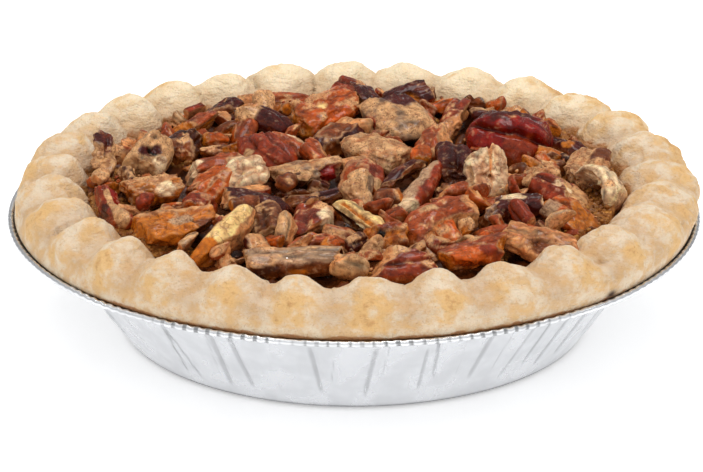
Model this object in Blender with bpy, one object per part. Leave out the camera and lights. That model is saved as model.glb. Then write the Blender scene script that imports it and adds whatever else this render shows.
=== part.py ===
"""Pecan pie baked in its own foil tin: tin, pastry crust, filling and the chopped nuts on top.

The pie stands on the tin's flat base. Origin: centre of the base. +Z up, metres.
The body of the script works in millimetres; MM turns a length into metres.
"""
import math
import random

import bmesh
import bpy
from mathutils import Matrix, Vector
from mathutils.bvhtree import BVHTree

MM = 0.001
GAP = 0.35                  # clearance kept between neighbouring pieces

# ---- driving dimensions of the tin ----
TIN_RADIUS = 116.0          # outer edge of the rolled bead
TIN_FLANGE_Z = 37.1         # underside of the flange
TIN_WALL = 0.5              # foil, as thick as a solid shell needs
TIN_BASE_RADIUS = 77.0
TIN_MOUTH_RADIUS = 103.6    # where the wall turns out into the flange
TIN_FOOT_RADIUS = 79.0      # inner radius where the wall leaves the rounded edge of the base
TIN_FOOT_Z = 2.6
TIN_BEAD = 1.0              # radius of the rolled bead
TIN_STEPS = 48

# ---- driving dimensions of the crust ----
CRUST_RADIUS = 113.6        # belly of the rim, between its lobes
CRUST_CREST_RADIUS = 101.5
CRUST_CREST_Z = 55.4
CRUST_SHIFT = 1.3           # the rim leans over the bead on the +X side
PASTRY = 3.8                # thickness of the lining in the tin
CAVITY_RADIUS = 89.4        # inner edge of the rim
CAVITY_Z = 45.5             # height of that edge
LOBES = 29
LOBE_STEPS = 4              # segments across one lobe
FIRST_LOBE = 92.7           # degrees, the middle of one lobe at the back
LOBE_DRIFT = 3.5            # degrees, how far the pressed lobes run out of step at the front
CREASE_DROP = 3.4           # how much lower a crease runs than the crest beside it
LOBE_SWELL = 1.5            # how far a lobe stands out past its creases

# ---- driving dimensions of the filling and the nuts ----
FILLING_EDGE_Z = 44.4       # where it meets the pastry
FILLING_RISE = 0.8          # how much higher it stands in the middle, under the nuts
FILLING_LUMP = 0.8
FILLING_STEPS = 32
PECAN_LENGTH = 30.0         # a whole pecan half
PECAN_WIDTH = 19.5
PECAN_DEPTH = 11.0
PECAN_STEPS = 12            # points round a nut: three ridges above, two lobes below
KERNEL_STEPS = 8            # inner bits have no ridges
PECAN_RINGS = 5
UNEVEN = 0.05               # how far a nut's points stray, as a share of its size
KEPT_SHARE = {"half": 1.0, "end": 0.74, "chunk": 0.62, "stick": 1.0, "sliver": 1.0, "kernel": 0.62}
END_BREAK = 0.24            # where an end is broken off, as a share of the nut's length
CHUNK_BREAK = 0.31          # where a chunk is broken off at both ends
BREAK_LEAN = 0.35           # how far a break may lean from square
BREAK_SWELL = (-1.0, 0.6)   # how far the middle of a break stands in or out, in mm
SLIP = 5.0                  # how far a nut may slide aside to lie lower in the heap
NUT_REACH = 91.0            # the nuts keep inside this radius
SEED = 41

# name: kind, x, y (mm), heading, pitch and roll (degrees), length, width and depth as
# shares of a whole half. Heading turns the nut's long axis from +X, pitch lifts its far
# end, roll turns it about that axis: 0 has the skin up, 180 the flat side.
LOWER_PECANS = {
    "rear_skin_left": ("stick", -27, 80, 4, 4, 60, 0.75, 0.6, 0.75),
    "rear_skin_mid": ("end", 2, 78, 150, 8, 15, 0.6, 0.65, 0.8),
    "rear_corner": ("stick", -44, 68, 50, 16, 40, 0.55, 0.6, 0.7),
    "rear_right_long": ("stick", 35, 50, 80, 10, 20, 0.9, 0.7, 0.85),
    "rear_right_low": ("end", 29, 30, 80, 6, 20, 0.55, 0.65, 0.75),
    "glazed_side": ("stick", 72, 32, 128, 4, 30, 0.7, 0.6, 0.7),
    "rear_left_red": ("stick", -54, 48, 42, 12, 20, 0.75, 0.7, 0.8),
    "left_brown": ("chunk", -57, 26, 70, 6, 30, 0.42, 0.55, 0.75),
    "left_amber": ("chunk", -50, 27, 20, 4, 150, 0.42, 0.5, 0.5),
    "left_fin": ("sliver", -84, 13, 84, 22, 72, 0.7, 0.6, 0.9),
    "left_bend": ("stick", -82, -31, 106, 12, 110, 0.85, 0.7, 0.7),
    "left_small_skin": ("end", -50, -24, 80, 6, 30, 0.4, 0.5, 0.6),
    "orange_knob": ("kernel", -47, -8, 60, 20, 0, 0.5, 0.55, 0.8),
    "purple_left": ("end", -34, -26, 172, 6, 25, 0.65, 0.6, 0.7),
    "purple_mid": ("stick", -16, -24, 14, 6, 40, 0.75, 0.6, 0.7),
    "amber_rear": ("chunk", -8, 59, 40, 10, 185, 0.75, 0.85, 0.85),
    "purple_strip": ("sliver", -1, 66, 105, 10, 40, 0.5, 0.55, 0.75),
    "orange_ball": ("kernel", 29, 72, 0, 0, 0, 0.35, 0.5, 0.8),
    "dark_middle": ("end", -7, 34, 60, 10, 20, 0.55, 0.65, 0.75),
    "pale_edged_red": ("end", -17, 31, 150, 8, 20, 0.45, 0.55, 0.6),
    "red_centre": ("end", 3, -8, 80, 6, 15, 0.65, 0.65, 0.7),
    "small_right": ("kernel", 54, -2, 30, 0, 0, 0.35, 0.45, 0.7),
    "middle_front": ("chunk", 0, -16, 80, 30, 20, 0.4, 0.45, 0.7),
    "dark_cavity": ("end", 34, 2, 96, 14, 190, 0.75, 0.6, 0.9),
    "far_right_lump": ("chunk", 76, 6, 75, 4, 170, 0.65, 0.7, 0.75),
    "striped_right": ("end", 68, -16, 140, 8, 10, 0.6, 0.6, 0.75),
    "long_dark_skin": ("stick", 14, -2, 58, 12, 40, 0.9, 0.55, 0.7),
    "slab_right": ("stick", 54, -50, 174, 4, 60, 0.9, 0.7, 0.75),
    "caramel_front": ("end", 62, -70, 150, 4, 175, 0.72, 0.7, 0.75),
    "tan_block_left": ("chunk", -28, -44, 100, 8, 150, 0.5, 0.5, 0.8),
    "thin_brown": ("sliver", -14, -60, 6, 2, 20, 0.75, 0.6, 1.0),
    "front_red": ("end", 16, -78, 12, 4, 15, 0.75, 0.7, 0.8),
    "front_orange": ("chunk", 39, -72, 30, 6, 160, 0.62, 0.7, 0.9),
    "orange_right": ("end", 70, -35, 135, 10, 15, 0.6, 0.6, 0.75),
    "red_ridged": ("end", -31, 23, 118, 10, -20, 0.65, 0.75, 0.9),
    "cream_cracked": ("kernel", 46, -4, 96, 6, 0, 0.5, 0.55, 0.85),
    "middle_low": ("chunk", 10, -56, 10, 4, 30, 0.45, 0.5, 0.7),
}
UPPER_PECANS = {
    "cream_flower": ("kernel", -37, -10, 10, 10, 0, 0.45, 0.6, 0.7),
    "caramel_block": ("chunk", -57, -50, 14, 4, 168, 0.9, 0.85, 0.95),
    "left_clump": ("chunk", -64, -15, 10, 6, 170, 0.6, 0.75, 0.8),
    "tall_slotted": ("chunk", -68, 18, 62, 18, 200, 0.58, 0.72, 0.95),
    "red_ledge": ("end", -45, 6, 12, 8, 20, 0.65, 0.6, 0.6),
    "two_tone_rear": ("end", -33, 50, 160, 12, 30, 0.72, 0.8, 0.9),
    "tall_rear": ("end", 19, 76, 20, 14, 200, 0.6, 0.65, 0.8),
    "tan_oval": ("end", 15, 50, 118, 12, 172, 0.7, 0.9, 0.95),
    "big_half": ("half", 53, 32, 160, 8, -12, 1.0, 1.05, 1.1),
    "tan_bubbly": ("chunk", 8, 20, 140, 6, 175, 0.62, 0.75, 0.8),
    "grey_notched": ("end", -13, 2, 10, 6, 176, 0.78, 0.75, 0.8),
    "long_diagonal": ("stick", 22, -13, 66, 14, 150, 1.0, 0.65, 0.8),
    "round_tan": ("kernel", 63, -8, 0, 0, 0, 0.3, 0.45, 0.75),
    "cream_curl": ("stick", 79, -17, 118, 8, 150, 0.6, 0.6, 0.7),
    "cream_over_purple": ("chunk", 55, -31, 10, 6, 165, 0.45, 0.6, 0.8),
    "red_block": ("end", -14, -42, 84, 12, 160, 0.5, 0.6, 0.75),
    "cream_stick": ("stick", 4, -46, 128, 12, 140, 0.75, 0.65, 0.8),
    "bent_red": ("end", 30, -42, 40, 8, 20, 0.9, 0.65, 0.7),
    "front_cream": ("stick", -40, -58, 58, 16, 130, 1.05, 0.85, 0.9),
    "front_slab": ("half", -20, -78, 2, 3, 176, 1.0, 0.7, 0.8),
}

COLOURS = {                 # base colour, roughness, metallic
    "foil": ((0.78, 0.79, 0.80), 0.28, 1.0),
    "pastry": ((0.72, 0.52, 0.30), 0.75, 0.0),
    "syrup_filling": ((0.22, 0.09, 0.025), 0.35, 0.0),
    "pecan": ((0.20, 0.06, 0.03), 0.40, 0.0),
}


def clearScene():
    for obj in list(bpy.data.objects):
        bpy.data.objects.remove(obj)


def makeMaterial(name):
    colour, roughness, metallic = COLOURS[name]
    material = bpy.data.materials.new(name)
    material.use_nodes = True
    shader = material.node_tree.nodes["Principled BSDF"]
    shader.inputs["Base Color"].default_value = (*colour, 1.0)
    shader.inputs["Roughness"].default_value = roughness
    shader.inputs["Metallic"].default_value = metallic
    return material


def addObject(name, mesh, material):
    """Turn a mesh drawn in millimetres into an object in metres."""
    bmesh.ops.triangulate(mesh, faces=mesh.faces[:])
    bmesh.ops.recalc_face_normals(mesh, faces=mesh.faces[:])
    bmesh.ops.scale(mesh, vec=(MM, MM, MM), verts=mesh.verts[:])
    data = bpy.data.meshes.new(name)
    mesh.to_mesh(data)
    mesh.free()
    data.shade_smooth()
    data.set_sharp_from_angle(angle=math.radians(35))
    data.materials.append(material)
    obj = bpy.data.objects.new(name, data)
    bpy.context.collection.objects.link(obj)
    return obj


def spinProfile(points, steps):
    """Turn an outline of (radius, height) points once round the Z axis."""
    mesh = bmesh.new()
    verts = [mesh.verts.new((radius, 0.0, height)) for radius, height in points]
    edges = [mesh.edges.new(pair) for pair in zip(verts, verts[1:])]
    if points[0][0] > 0.0:
        edges.append(mesh.edges.new((verts[-1], verts[0])))
    bmesh.ops.spin(mesh, geom=verts + edges, cent=(0, 0, 0), axis=(0, 0, 1),
                   angle=math.tau, steps=steps, use_duplicate=False)
    bmesh.ops.remove_doubles(mesh, verts=mesh.verts[:], dist=0.01)
    return mesh


def smoothStep(low, high, value):
    share = min(max((value - low) / (high - low), 0.0), 1.0)
    return share * share * (3.0 - 2.0 * share)


def arc(centre, radius, start, end, count):
    """Points of an arc in the outline's plane, angles in degrees."""
    angles = [math.radians(start + (end - start) * i / (count - 1)) for i in range(count)]
    return [(centre[0] + radius * math.cos(a), centre[1] + radius * math.sin(a)) for a in angles]


def wallRadius(height):
    """Radius of the tin wall's inner face at a height."""
    mouth = TIN_MOUTH_RADIUS - TIN_WALL
    share = (height - TIN_FOOT_Z) / (TIN_FLANGE_Z + TIN_WALL - TIN_FOOT_Z)
    return TIN_FOOT_RADIUS + (mouth - TIN_FOOT_RADIUS) * share


def buildTin(material):
    """A thin foil dish: flat base, sloping wall, flange and a rolled bead round it."""
    flangeTop = TIN_FLANGE_Z + TIN_WALL
    beadCentre = (TIN_RADIUS - TIN_BEAD, TIN_FLANGE_Z + TIN_BEAD)
    outer = [(0.0, 0.0), (TIN_BASE_RADIUS, 0.0), (TIN_FOOT_RADIUS + TIN_WALL, TIN_FOOT_Z - TIN_WALL * 0.5),
             (TIN_MOUTH_RADIUS, TIN_FLANGE_Z)]
    bead = arc(beadCentre, TIN_BEAD, -90, 150, 6)
    inner = [(wallRadius(flangeTop), flangeTop), (TIN_FOOT_RADIUS, TIN_FOOT_Z),
             (TIN_BASE_RADIUS - TIN_WALL, TIN_WALL), (0.0, TIN_WALL)]
    mesh = spinProfile(outer + bead + [(TIN_RADIUS - 2.4, flangeTop)] + inner, TIN_STEPS)
    return addObject("pie_tin", mesh, material)


def crustOutline():
    """The pastry's section: lining below, rim above, drawn from the axis round to the axis."""
    floor = TIN_WALL + GAP
    seat = TIN_FLANGE_Z + TIN_WALL + GAP
    liningRadius = wallRadius(seat) - GAP * 1.3
    top = CAVITY_Z - 4.5
    cavityFoot = floor + PASTRY + 2.5
    return [
        (0.0, floor), (TIN_BASE_RADIUS - TIN_WALL - 1.2, floor),
        (liningRadius, seat), (TIN_RADIUS - 4.2, seat),
        (CRUST_RADIUS - 1.2, seat + 1.9), (CRUST_RADIUS, 44.6),
        (CRUST_RADIUS - 3.6, 51.0), (CRUST_CREST_RADIUS + 4.4, 54.6),
        (CRUST_CREST_RADIUS - 1.6, CRUST_CREST_Z), (94.0, 52.6),
        (CAVITY_RADIUS, CAVITY_Z), (CAVITY_RADIUS - 0.8, top),
        (wallRadius(cavityFoot) - PASTRY, cavityFoot), (70.0, floor + PASTRY), (0.0, floor + PASTRY),
    ]


def buildCrust(material):
    """One pastry shell: its rim is pressed into rounded lobes with a crease between each two."""
    steps = LOBES * LOBE_STEPS
    mesh = spinProfile(crustOutline(), steps)
    rng = random.Random(SEED)
    lift = [rng.uniform(-0.7, 0.5) for _ in range(LOBES)]
    swell = [rng.uniform(0.7, 1.25) for _ in range(LOBES)]
    lobeWidth = math.tau / LOBES
    for vert in mesh.verts:
        radius = math.hypot(vert.co.x, vert.co.y)
        angle = math.atan2(vert.co.y, vert.co.x) % math.tau
        lowest = TIN_FLANGE_Z + 1.0 if radius > TIN_MOUTH_RADIUS + 4.0 else CAVITY_Z - 4.0
        rim = smoothStep(lowest, CAVITY_Z, vert.co.z)
        lobe, phase = divmod(angle / lobeWidth, 1.0)
        lobe = int(lobe + 1e-6) % LOBES
        pillow = abs(math.sin(math.pi * phase)) ** 0.62
        height = smoothStep(CAVITY_Z, CRUST_CREST_Z, vert.co.z)
        outward = math.cos(math.pi * min(max((radius - CAVITY_RADIUS) / 24.0, 0.0), 1.0))
        radius -= outward * LOBE_SWELL * (pillow - 0.5) * swell[lobe] * rim
        vert.co.z += height * (lift[lobe] * pillow - CREASE_DROP * (1.0 - pillow) * swell[lobe])
        turn = angle + math.radians(FIRST_LOBE) - lobeWidth / 2.0
        turn -= math.radians(LOBE_DRIFT) * (1.0 - math.cos(angle - lobeWidth / 2.0))
        lean = CRUST_SHIFT * rim * smoothStep(CAVITY_RADIUS + 1.0, CRUST_CREST_RADIUS, radius)
        vert.co.x = radius * math.cos(turn) + lean
        vert.co.y = radius * math.sin(turn)
    return addObject("crust", mesh, material)


def fillingTop(x, y):
    """Height of the set filling: level at the pastry, and raised in soft lumps under the nuts."""
    reach = math.hypot(x, y) / CAVITY_RADIUS
    lumps = math.sin(x * 0.11 + 1.0) * math.cos(y * 0.13) + math.sin(x * 0.23 - y * 0.19)
    inside = 1.0 - smoothStep(0.84, 1.0, reach)
    return FILLING_EDGE_Z + (FILLING_RISE + FILLING_LUMP * 0.5 * lumps) * inside


def buildFilling(material):
    """The filling fills the pastry up to just under the rim's inner edge."""
    floor = TIN_WALL + GAP + PASTRY + GAP
    footHeight = floor + 2.5
    footRadius = wallRadius(footHeight) - PASTRY - GAP * 1.6
    edgeRadius = CAVITY_RADIUS - 0.8 - GAP * 2.0
    rings = [edgeRadius * share for share in (0.93, 0.84, 0.62, 0.4)]
    outline = [(0.0, floor), (69.0, floor), (footRadius, footHeight), (edgeRadius, FILLING_EDGE_Z)]
    outline += [(ring, FILLING_EDGE_Z) for ring in rings] + [(0.0, FILLING_EDGE_Z)]
    mesh = spinProfile(outline, FILLING_STEPS)
    for vert in mesh.verts:
        if vert.co.z > FILLING_EDGE_Z - 0.01:
            vert.co.z = fillingTop(vert.co.x, vert.co.y)
    return addObject("filling", mesh, material)


def pecanHalf(length, width, depth, steps, rng):
    """A whole pecan half: two grooves along its skin side, one between the lobes below."""
    mesh = bmesh.new()
    bmesh.ops.create_uvsphere(mesh, u_segments=steps, v_segments=PECAN_RINGS, radius=1.0)
    bmesh.ops.rotate(mesh, verts=mesh.verts[:], cent=(0, 0, 0),
                     matrix=Matrix.Rotation(math.pi / 2.0, 3, "Y"))
    for vert in mesh.verts:
        along, across, up = vert.co
        reach = max(math.hypot(across, up), 1e-6)
        full = (1.0 - abs(along) ** 2.6) ** 0.5 * (1.0 - 0.14 * along) / reach
        across, up = across * full, up * full
        side = across / max(full * reach, 1e-6)
        if up > 0.0:
            groove = 0.30 * math.exp(-((abs(side) - 0.5) / 0.16) ** 2)
            up *= 1.0 - groove
        else:
            groove = 0.75 * math.exp(-(side / 0.3) ** 2)
            up *= 0.62 * (1.0 - groove)
        stray = [1.0 + rng.uniform(-UNEVEN, UNEVEN) for _ in range(3)]
        vert.co = (along * stray[0] * length / 2.0, across * stray[1] * width / 2.0,
                   up * stray[2] * depth * 0.62)
    return mesh


def breakOff(mesh, point, normal, rough):
    """Snap a piece off: cut the nut, close the cut and roughen it about its middle."""
    cut = bmesh.ops.bisect_plane(mesh, geom=mesh.verts[:] + mesh.edges[:] + mesh.faces[:], dist=1e-4,
                                 plane_co=point, plane_no=normal, clear_outer=True)
    rimEdges = [item for item in cut["geom_cut"] if isinstance(item, bmesh.types.BMEdge)]
    filled = bmesh.ops.contextual_create(mesh, geom=rimEdges)
    caps = [face for face in filled["faces"]]
    poked = bmesh.ops.poke(mesh, faces=caps)
    for vert in poked["verts"]:
        vert.co += Vector(normal).normalized() * rough


def shapePecan(kind, length, width, depth, rng):
    """Break a whole half down to the kind of piece asked for."""
    whole = length / KEPT_SHARE[kind]
    steps = KERNEL_STEPS if kind == "kernel" else PECAN_STEPS
    mesh = pecanHalf(whole, width, depth, steps, rng)
    tilt = rng.uniform(-BREAK_LEAN, BREAK_LEAN)
    lean = rng.uniform(-BREAK_LEAN, BREAK_LEAN)
    rough = rng.uniform(*BREAK_SWELL)
    if kind in ("end", "chunk", "kernel"):
        farEnd = END_BREAK if kind == "end" else CHUNK_BREAK
        breakOff(mesh, (whole * farEnd, 0, 0), (1.0, tilt, lean), rough)
    if kind in ("chunk", "kernel"):
        breakOff(mesh, (-whole * CHUNK_BREAK, 0, 0), (-1.0, lean, -tilt), rough * 0.7)
    if kind == "stick":
        breakOff(mesh, (0, width * 0.03, 0), (tilt * 0.3, -1.0, lean * 0.5), 0.2)
        if rng.random() < 0.6:
            breakOff(mesh, (whole * 0.38, 0, 0), (1.0, tilt, lean), rough * 0.5)
    if kind == "sliver":
        breakOff(mesh, (0, 0, depth * 0.16), (0.0, tilt * 0.4, -1.0), 0.5)
    if kind == "kernel":
        breakOff(mesh, (0, 0, -depth * 0.12), (tilt, lean, -1.0), 0.3)
        breakOff(mesh, (0, 0, depth * 0.42), (lean, 0.3, 1.0), 0.8)
    bmesh.ops.triangulate(mesh, faces=mesh.faces[:])
    return mesh


def inflated(mesh, margin):
    """A tree of the piece swollen by a margin, to test it with clearance kept."""
    swollen = mesh.copy()
    swollen.normal_update()
    for vert in swollen.verts:
        vert.co += vert.normal * margin
    verts = [vert.co.copy() for vert in swollen.verts]
    faces = [[vert.index for vert in face.verts] for face in swollen.faces]
    swollen.free()
    return verts, faces


def restingHeight(verts, faces, slide, settled):
    """Lower a piece, slid aside by a step, until it would touch what already lies there."""
    middle = sum(verts, Vector()) / len(verts) + slide
    reach = max((vert + slide - middle).length for vert in verts)
    near = [tree for tree, centre, size in settled
            if math.hypot(centre.x - middle.x, centre.y - middle.y) < reach + size]

    def touches(height):
        drop = slide + Vector((0, 0, height))
        moved = BVHTree.FromPolygons([vert + drop for vert in verts], faces)
        return any(moved.overlap(tree) for tree in near)

    high = 72.0
    step = 4.0
    while step > 0.02:
        while not touches(high - step):
            high -= step
        step /= 4.0
    return high


def restingPlace(mesh, settled):
    """The lowest place within reach: a nut slides a little aside before it lies on another."""
    verts, faces = inflated(mesh, GAP)
    slides = [Vector((0, 0, 0))]
    for share, count in ((0.25, 6), (0.5, 8), (0.75, 8), (1.0, 10)):
        for i in range(count):
            turn = math.tau * (i + share) / count
            slides.append(Vector((math.cos(turn), math.sin(turn), 0)) * SLIP * share)
    best = None
    for slide in slides:
        height = restingHeight(verts, faces, slide, settled)
        cost = height + 0.5 * slide.length
        if best is None or cost < best[0]:
            best = (cost, slide + Vector((0, 0, height)))
    return best[1]


def treeOf(mesh):
    mesh.verts.index_update()
    verts = [vert.co.copy() for vert in mesh.verts]
    middle = sum(verts, Vector()) / len(verts)
    size = max((vert - middle).length for vert in verts)
    faces = [[vert.index for vert in face.verts] for face in mesh.faces]
    return BVHTree.FromPolygons(verts, faces), middle, size


def scaledCopy(obj):
    """A mesh in millimetres of an object already built."""
    mesh = bmesh.new()
    mesh.from_mesh(obj.data)
    bmesh.ops.scale(mesh, vec=(1 / MM, 1 / MM, 1 / MM), verts=mesh.verts[:])
    return mesh


def spreadApart(layer):
    """Push the nuts of one layer apart in plan until they lie side by side, near their places."""
    homes = [Vector(row[1:3]) for row in layer.values()]
    arms = []
    sizes = []
    for row in layer.values():
        heading, longShare, wideShare = math.radians(row[3]), row[6], row[7]
        size = PECAN_WIDTH * wideShare * 0.4
        reach = max(PECAN_LENGTH * longShare * 0.45 - size, 0.0)
        arms.append(Vector((math.cos(heading), math.sin(heading))) * reach)
        sizes.append(size)
    places = [home.copy() for home in homes]
    for _ in range(60):
        for i in range(len(places)):
            for j in range(i):
                for a in (-1.0, 0.0, 1.0):
                    for b in (-1.0, 0.0, 1.0):
                        apart = places[i] + arms[i] * a - places[j] - arms[j] * b
                        overlap = sizes[i] + sizes[j] - apart.length
                        if overlap > 0.0:
                            push = apart.normalized() * overlap * 0.2
                            places[i] += push
                            places[j] -= push
            places[i] += (homes[i] - places[i]) * 0.03
            limit = NUT_REACH - sizes[i] - arms[i].length * 0.5
            if places[i].length > limit:
                places[i] *= limit / places[i].length
    return places


def buildPecans(material, filling, crust):
    """Set the nuts down one after another, each as low as the heap below lets it go."""
    settled = []
    for base in (filling, crust):
        mesh = scaledCopy(base)
        tree, _, _ = treeOf(mesh)
        settled.append((tree, Vector((0, 0, 0)), TIN_RADIUS))
        mesh.free()
    places = spreadApart(LOWER_PECANS) + spreadApart(UPPER_PECANS)
    for number, (label, row) in enumerate({**LOWER_PECANS, **UPPER_PECANS}.items()):
        kind, _, _, heading, pitch, roll, longShare, wideShare, deepShare = row
        rng = random.Random(SEED + number)
        mesh = shapePecan(kind, PECAN_LENGTH * longShare,
                          PECAN_WIDTH * wideShare, PECAN_DEPTH * deepShare, rng)
        turn = (Matrix.Rotation(math.radians(heading), 3, "Z")
                @ Matrix.Rotation(math.radians(-pitch), 3, "Y")
                @ Matrix.Rotation(math.radians(roll), 3, "X"))
        middle = sum((vert.co for vert in mesh.verts), Vector()) / len(mesh.verts)
        bmesh.ops.translate(mesh, verts=mesh.verts[:], vec=-middle)
        bmesh.ops.rotate(mesh, verts=mesh.verts[:], cent=(0, 0, 0), matrix=turn)
        bmesh.ops.translate(mesh, verts=mesh.verts[:], vec=places[number].to_3d())
        bmesh.ops.translate(mesh, verts=mesh.verts[:], vec=restingPlace(mesh, settled))
        settled.append(treeOf(mesh))
        addObject(f"pecan_{kind}_{label}", mesh, material)


def main():
    clearScene()
    materials = {name: makeMaterial(name) for name in COLOURS}
    buildTin(materials["foil"])
    crust = buildCrust(materials["pastry"])
    filling = buildFilling(materials["syrup_filling"])
    buildPecans(materials["pecan"], filling, crust)


main()
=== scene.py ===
import itertools
import math
import random

import bpy
import numpy as np
from mathutils import Matrix, Vector
from mathutils.bvhtree import BVHTree
from mathutils.kdtree import KDTree


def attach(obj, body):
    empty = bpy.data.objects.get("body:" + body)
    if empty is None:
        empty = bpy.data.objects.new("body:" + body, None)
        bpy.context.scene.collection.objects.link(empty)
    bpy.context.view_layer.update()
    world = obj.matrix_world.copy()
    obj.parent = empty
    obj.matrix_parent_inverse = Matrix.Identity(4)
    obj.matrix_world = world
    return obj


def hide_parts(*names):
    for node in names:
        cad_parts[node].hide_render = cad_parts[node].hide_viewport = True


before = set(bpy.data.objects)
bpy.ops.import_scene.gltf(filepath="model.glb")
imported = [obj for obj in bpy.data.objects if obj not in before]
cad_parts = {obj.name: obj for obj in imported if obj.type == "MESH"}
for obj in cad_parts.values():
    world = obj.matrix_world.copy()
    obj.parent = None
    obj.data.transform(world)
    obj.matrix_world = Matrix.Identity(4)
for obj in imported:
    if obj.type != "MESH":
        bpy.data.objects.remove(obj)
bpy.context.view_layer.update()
mm = 0.001                     # the shapes below are worked out in millimetres
bpy.ops.object.select_all(action="DESELECT")


# ---- camera, light and floor ----
view = {"distance": 1.380, "elevation": 22.64, "lens": 208.4,
        "shift": (-2.5 / 703, 78.7 / 703)}
studio = {"dome": (0.33, 0.87), "domeFacing": (0.0, -0.6, 0.8),   # darkest, brightest, and where
          "floorColour": (0.95, 0.95, 0.95), "floorGlow": 0.38, "floorSize": 60.0,
          "softboxes": [                      # place, size, watts
              ((0.10, 0.25, 1.30), 0.50, 6.0)],
          # small lamps all round that put glints on the glaze: how many, how far, size, watts
          "glints": (12, 1.1, 0.02, 0.16)}


def addCamera():
    tilt = math.radians(view["elevation"])
    data = bpy.data.cameras.new("camera")
    data.sensor_width, data.lens = 36.0, view["lens"]
    data.shift_x, data.shift_y = view["shift"]
    camera = bpy.data.objects.new("camera", data)
    bpy.context.scene.collection.objects.link(camera)
    camera.location = (0, -view["distance"] * math.cos(tilt), view["distance"] * math.sin(tilt))
    camera.rotation_euler = (math.pi / 2 - tilt, 0, 0)
    bpy.context.scene.camera = camera


def addStudio():
    world = bpy.data.worlds.new("dome")
    bpy.context.scene.world = world
    world.use_nodes = True
    tree = world.node_tree
    where = tree.nodes.new("ShaderNodeTexCoord")
    facing = tree.nodes.new("ShaderNodeVectorMath")
    facing.operation = "DOT_PRODUCT"
    facing.inputs[1].default_value = studio["domeFacing"]
    level = tree.nodes.new("ShaderNodeMapRange")
    for key, number in zip(("From Min", "From Max", "To Min", "To Max"), (-0.3, 0.9, *studio["dome"])):
        level.inputs[key].default_value = number
    tree.nodes["Background"].inputs["Color"].default_value = (1, 1, 1, 1)
    tree.links.new(where.outputs["Generated"], facing.inputs[0])
    tree.links.new(facing.outputs["Value"], level.inputs["Value"])
    tree.links.new(level.outputs["Result"], tree.nodes["Background"].inputs["Strength"])
    count, far, wide, power = studio["glints"]
    lamps = list(studio["softboxes"])
    for i in range(count):
        bearing, rise = math.tau * i / count, math.radians((38, 62, 50)[i % 3])
        lamps.append(((far * math.cos(bearing) * math.cos(rise), far * math.sin(bearing) * math.cos(rise),
                       far * math.sin(rise)), wide, power))
    for place, size, watts in lamps:
        data = bpy.data.lights.new("softbox", "AREA")
        data.energy, data.size = watts, size
        lamp = bpy.data.objects.new("softbox", data)
        bpy.context.scene.collection.objects.link(lamp)
        lamp.location = place
        lamp.rotation_euler = (Vector((0, 0, 0.04)) - lamp.location).to_track_quat("-Z", "Y").to_euler()
    bpy.context.scene.view_settings.view_transform = "Standard"
    bpy.ops.mesh.primitive_plane_add(size=studio["floorSize"], location=(0, 0, -0.0002))
    floor = bpy.context.object
    floor.name = "floor"
    white, shader, _ = newMaterial("paleFloor", 0.6)
    shader.inputs["Base Color"].default_value = (*studio["floorColour"], 1)
    shader.inputs["Emission Color"].default_value = (1, 1, 1, 1)
    shader.inputs["Emission Strength"].default_value = studio["floorGlow"]
    floor.data.materials.append(white)


# ---- tools for shapes ----
def smoothStep(low, high, value):
    share = np.clip((value - low) / (high - low), 0, 1)
    return share * share * (3 - 2 * share)


def lumpNoise(points, size, seed=0):   # soft random values from -1 to 1, one lump in each size
    grid = points / np.asarray(size, float) + np.array([3.7, 1.3, 5.1]) * (seed + 0.37)
    cell = np.floor(grid).astype(np.int64)
    part = grid - cell
    part = part * part * (3 - 2 * part)
    total = np.zeros(len(points))
    for corner in itertools.product((0, 1), repeat=3):
        place = cell + corner
        mixed = place[:, 0] * 73856093 ^ place[:, 1] * 19349663 ^ place[:, 2] * 83492791
        mixed = (mixed ^ mixed >> 13) * 1274126177
        value = ((mixed ^ mixed >> 16) & 0xFFFF) / 32767.5 - 1
        total += value * np.prod(np.where(corner, part, 1 - part), axis=1)
    return total


def roughNoise(points, size, seed=0, steps=3):
    return sum(lumpNoise(points, size / 2 ** i, seed + 11 * i) / 2 ** i for i in range(steps)) / 1.6


def getPoints(obj):
    flat = np.empty(len(obj.data.vertices) * 3)
    obj.data.vertices.foreach_get("co", flat)
    return flat.reshape(-1, 3) / mm


def setPoints(obj, points):
    obj.data.vertices.foreach_set("co", (points * mm).ravel())
    obj.data.update()


def getNormals(obj):
    flat = np.empty(len(obj.data.vertices) * 3, np.float32)
    obj.data.vertex_normals.foreach_get("vector", flat)
    return flat.reshape(-1, 3).astype(float)


def paint(obj, name, values):          # one number, or one colour, on each point
    kind, field = ("FLOAT", "value") if values.ndim == 1 else ("FLOAT_COLOR", "color")
    layer = obj.data.attributes.new(name, kind, "POINT")
    if values.ndim == 2:
        values = np.hstack([values, np.ones((len(values), 1))])
    layer.data.foreach_set(field, values.astype(np.float32).ravel())


def smoothCurve(points, steps):        # a soft curve through the points of a section
    points = np.array(points, float)
    padded = np.vstack([2 * points[0] - points[1], points, 2 * points[-1] - points[-2]])
    curve = []
    for a, b, c, d in zip(padded, padded[1:], padded[2:], padded[3:]):
        for t in np.arange(steps) / steps:
            curve.append(0.5 * (2 * b + (c - a) * t + (2 * a - 5 * b + 4 * c - d) * t * t
                                + (3 * b - a - 3 * c + d) * t ** 3))
    curve.append(points[-1])
    return curve


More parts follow.
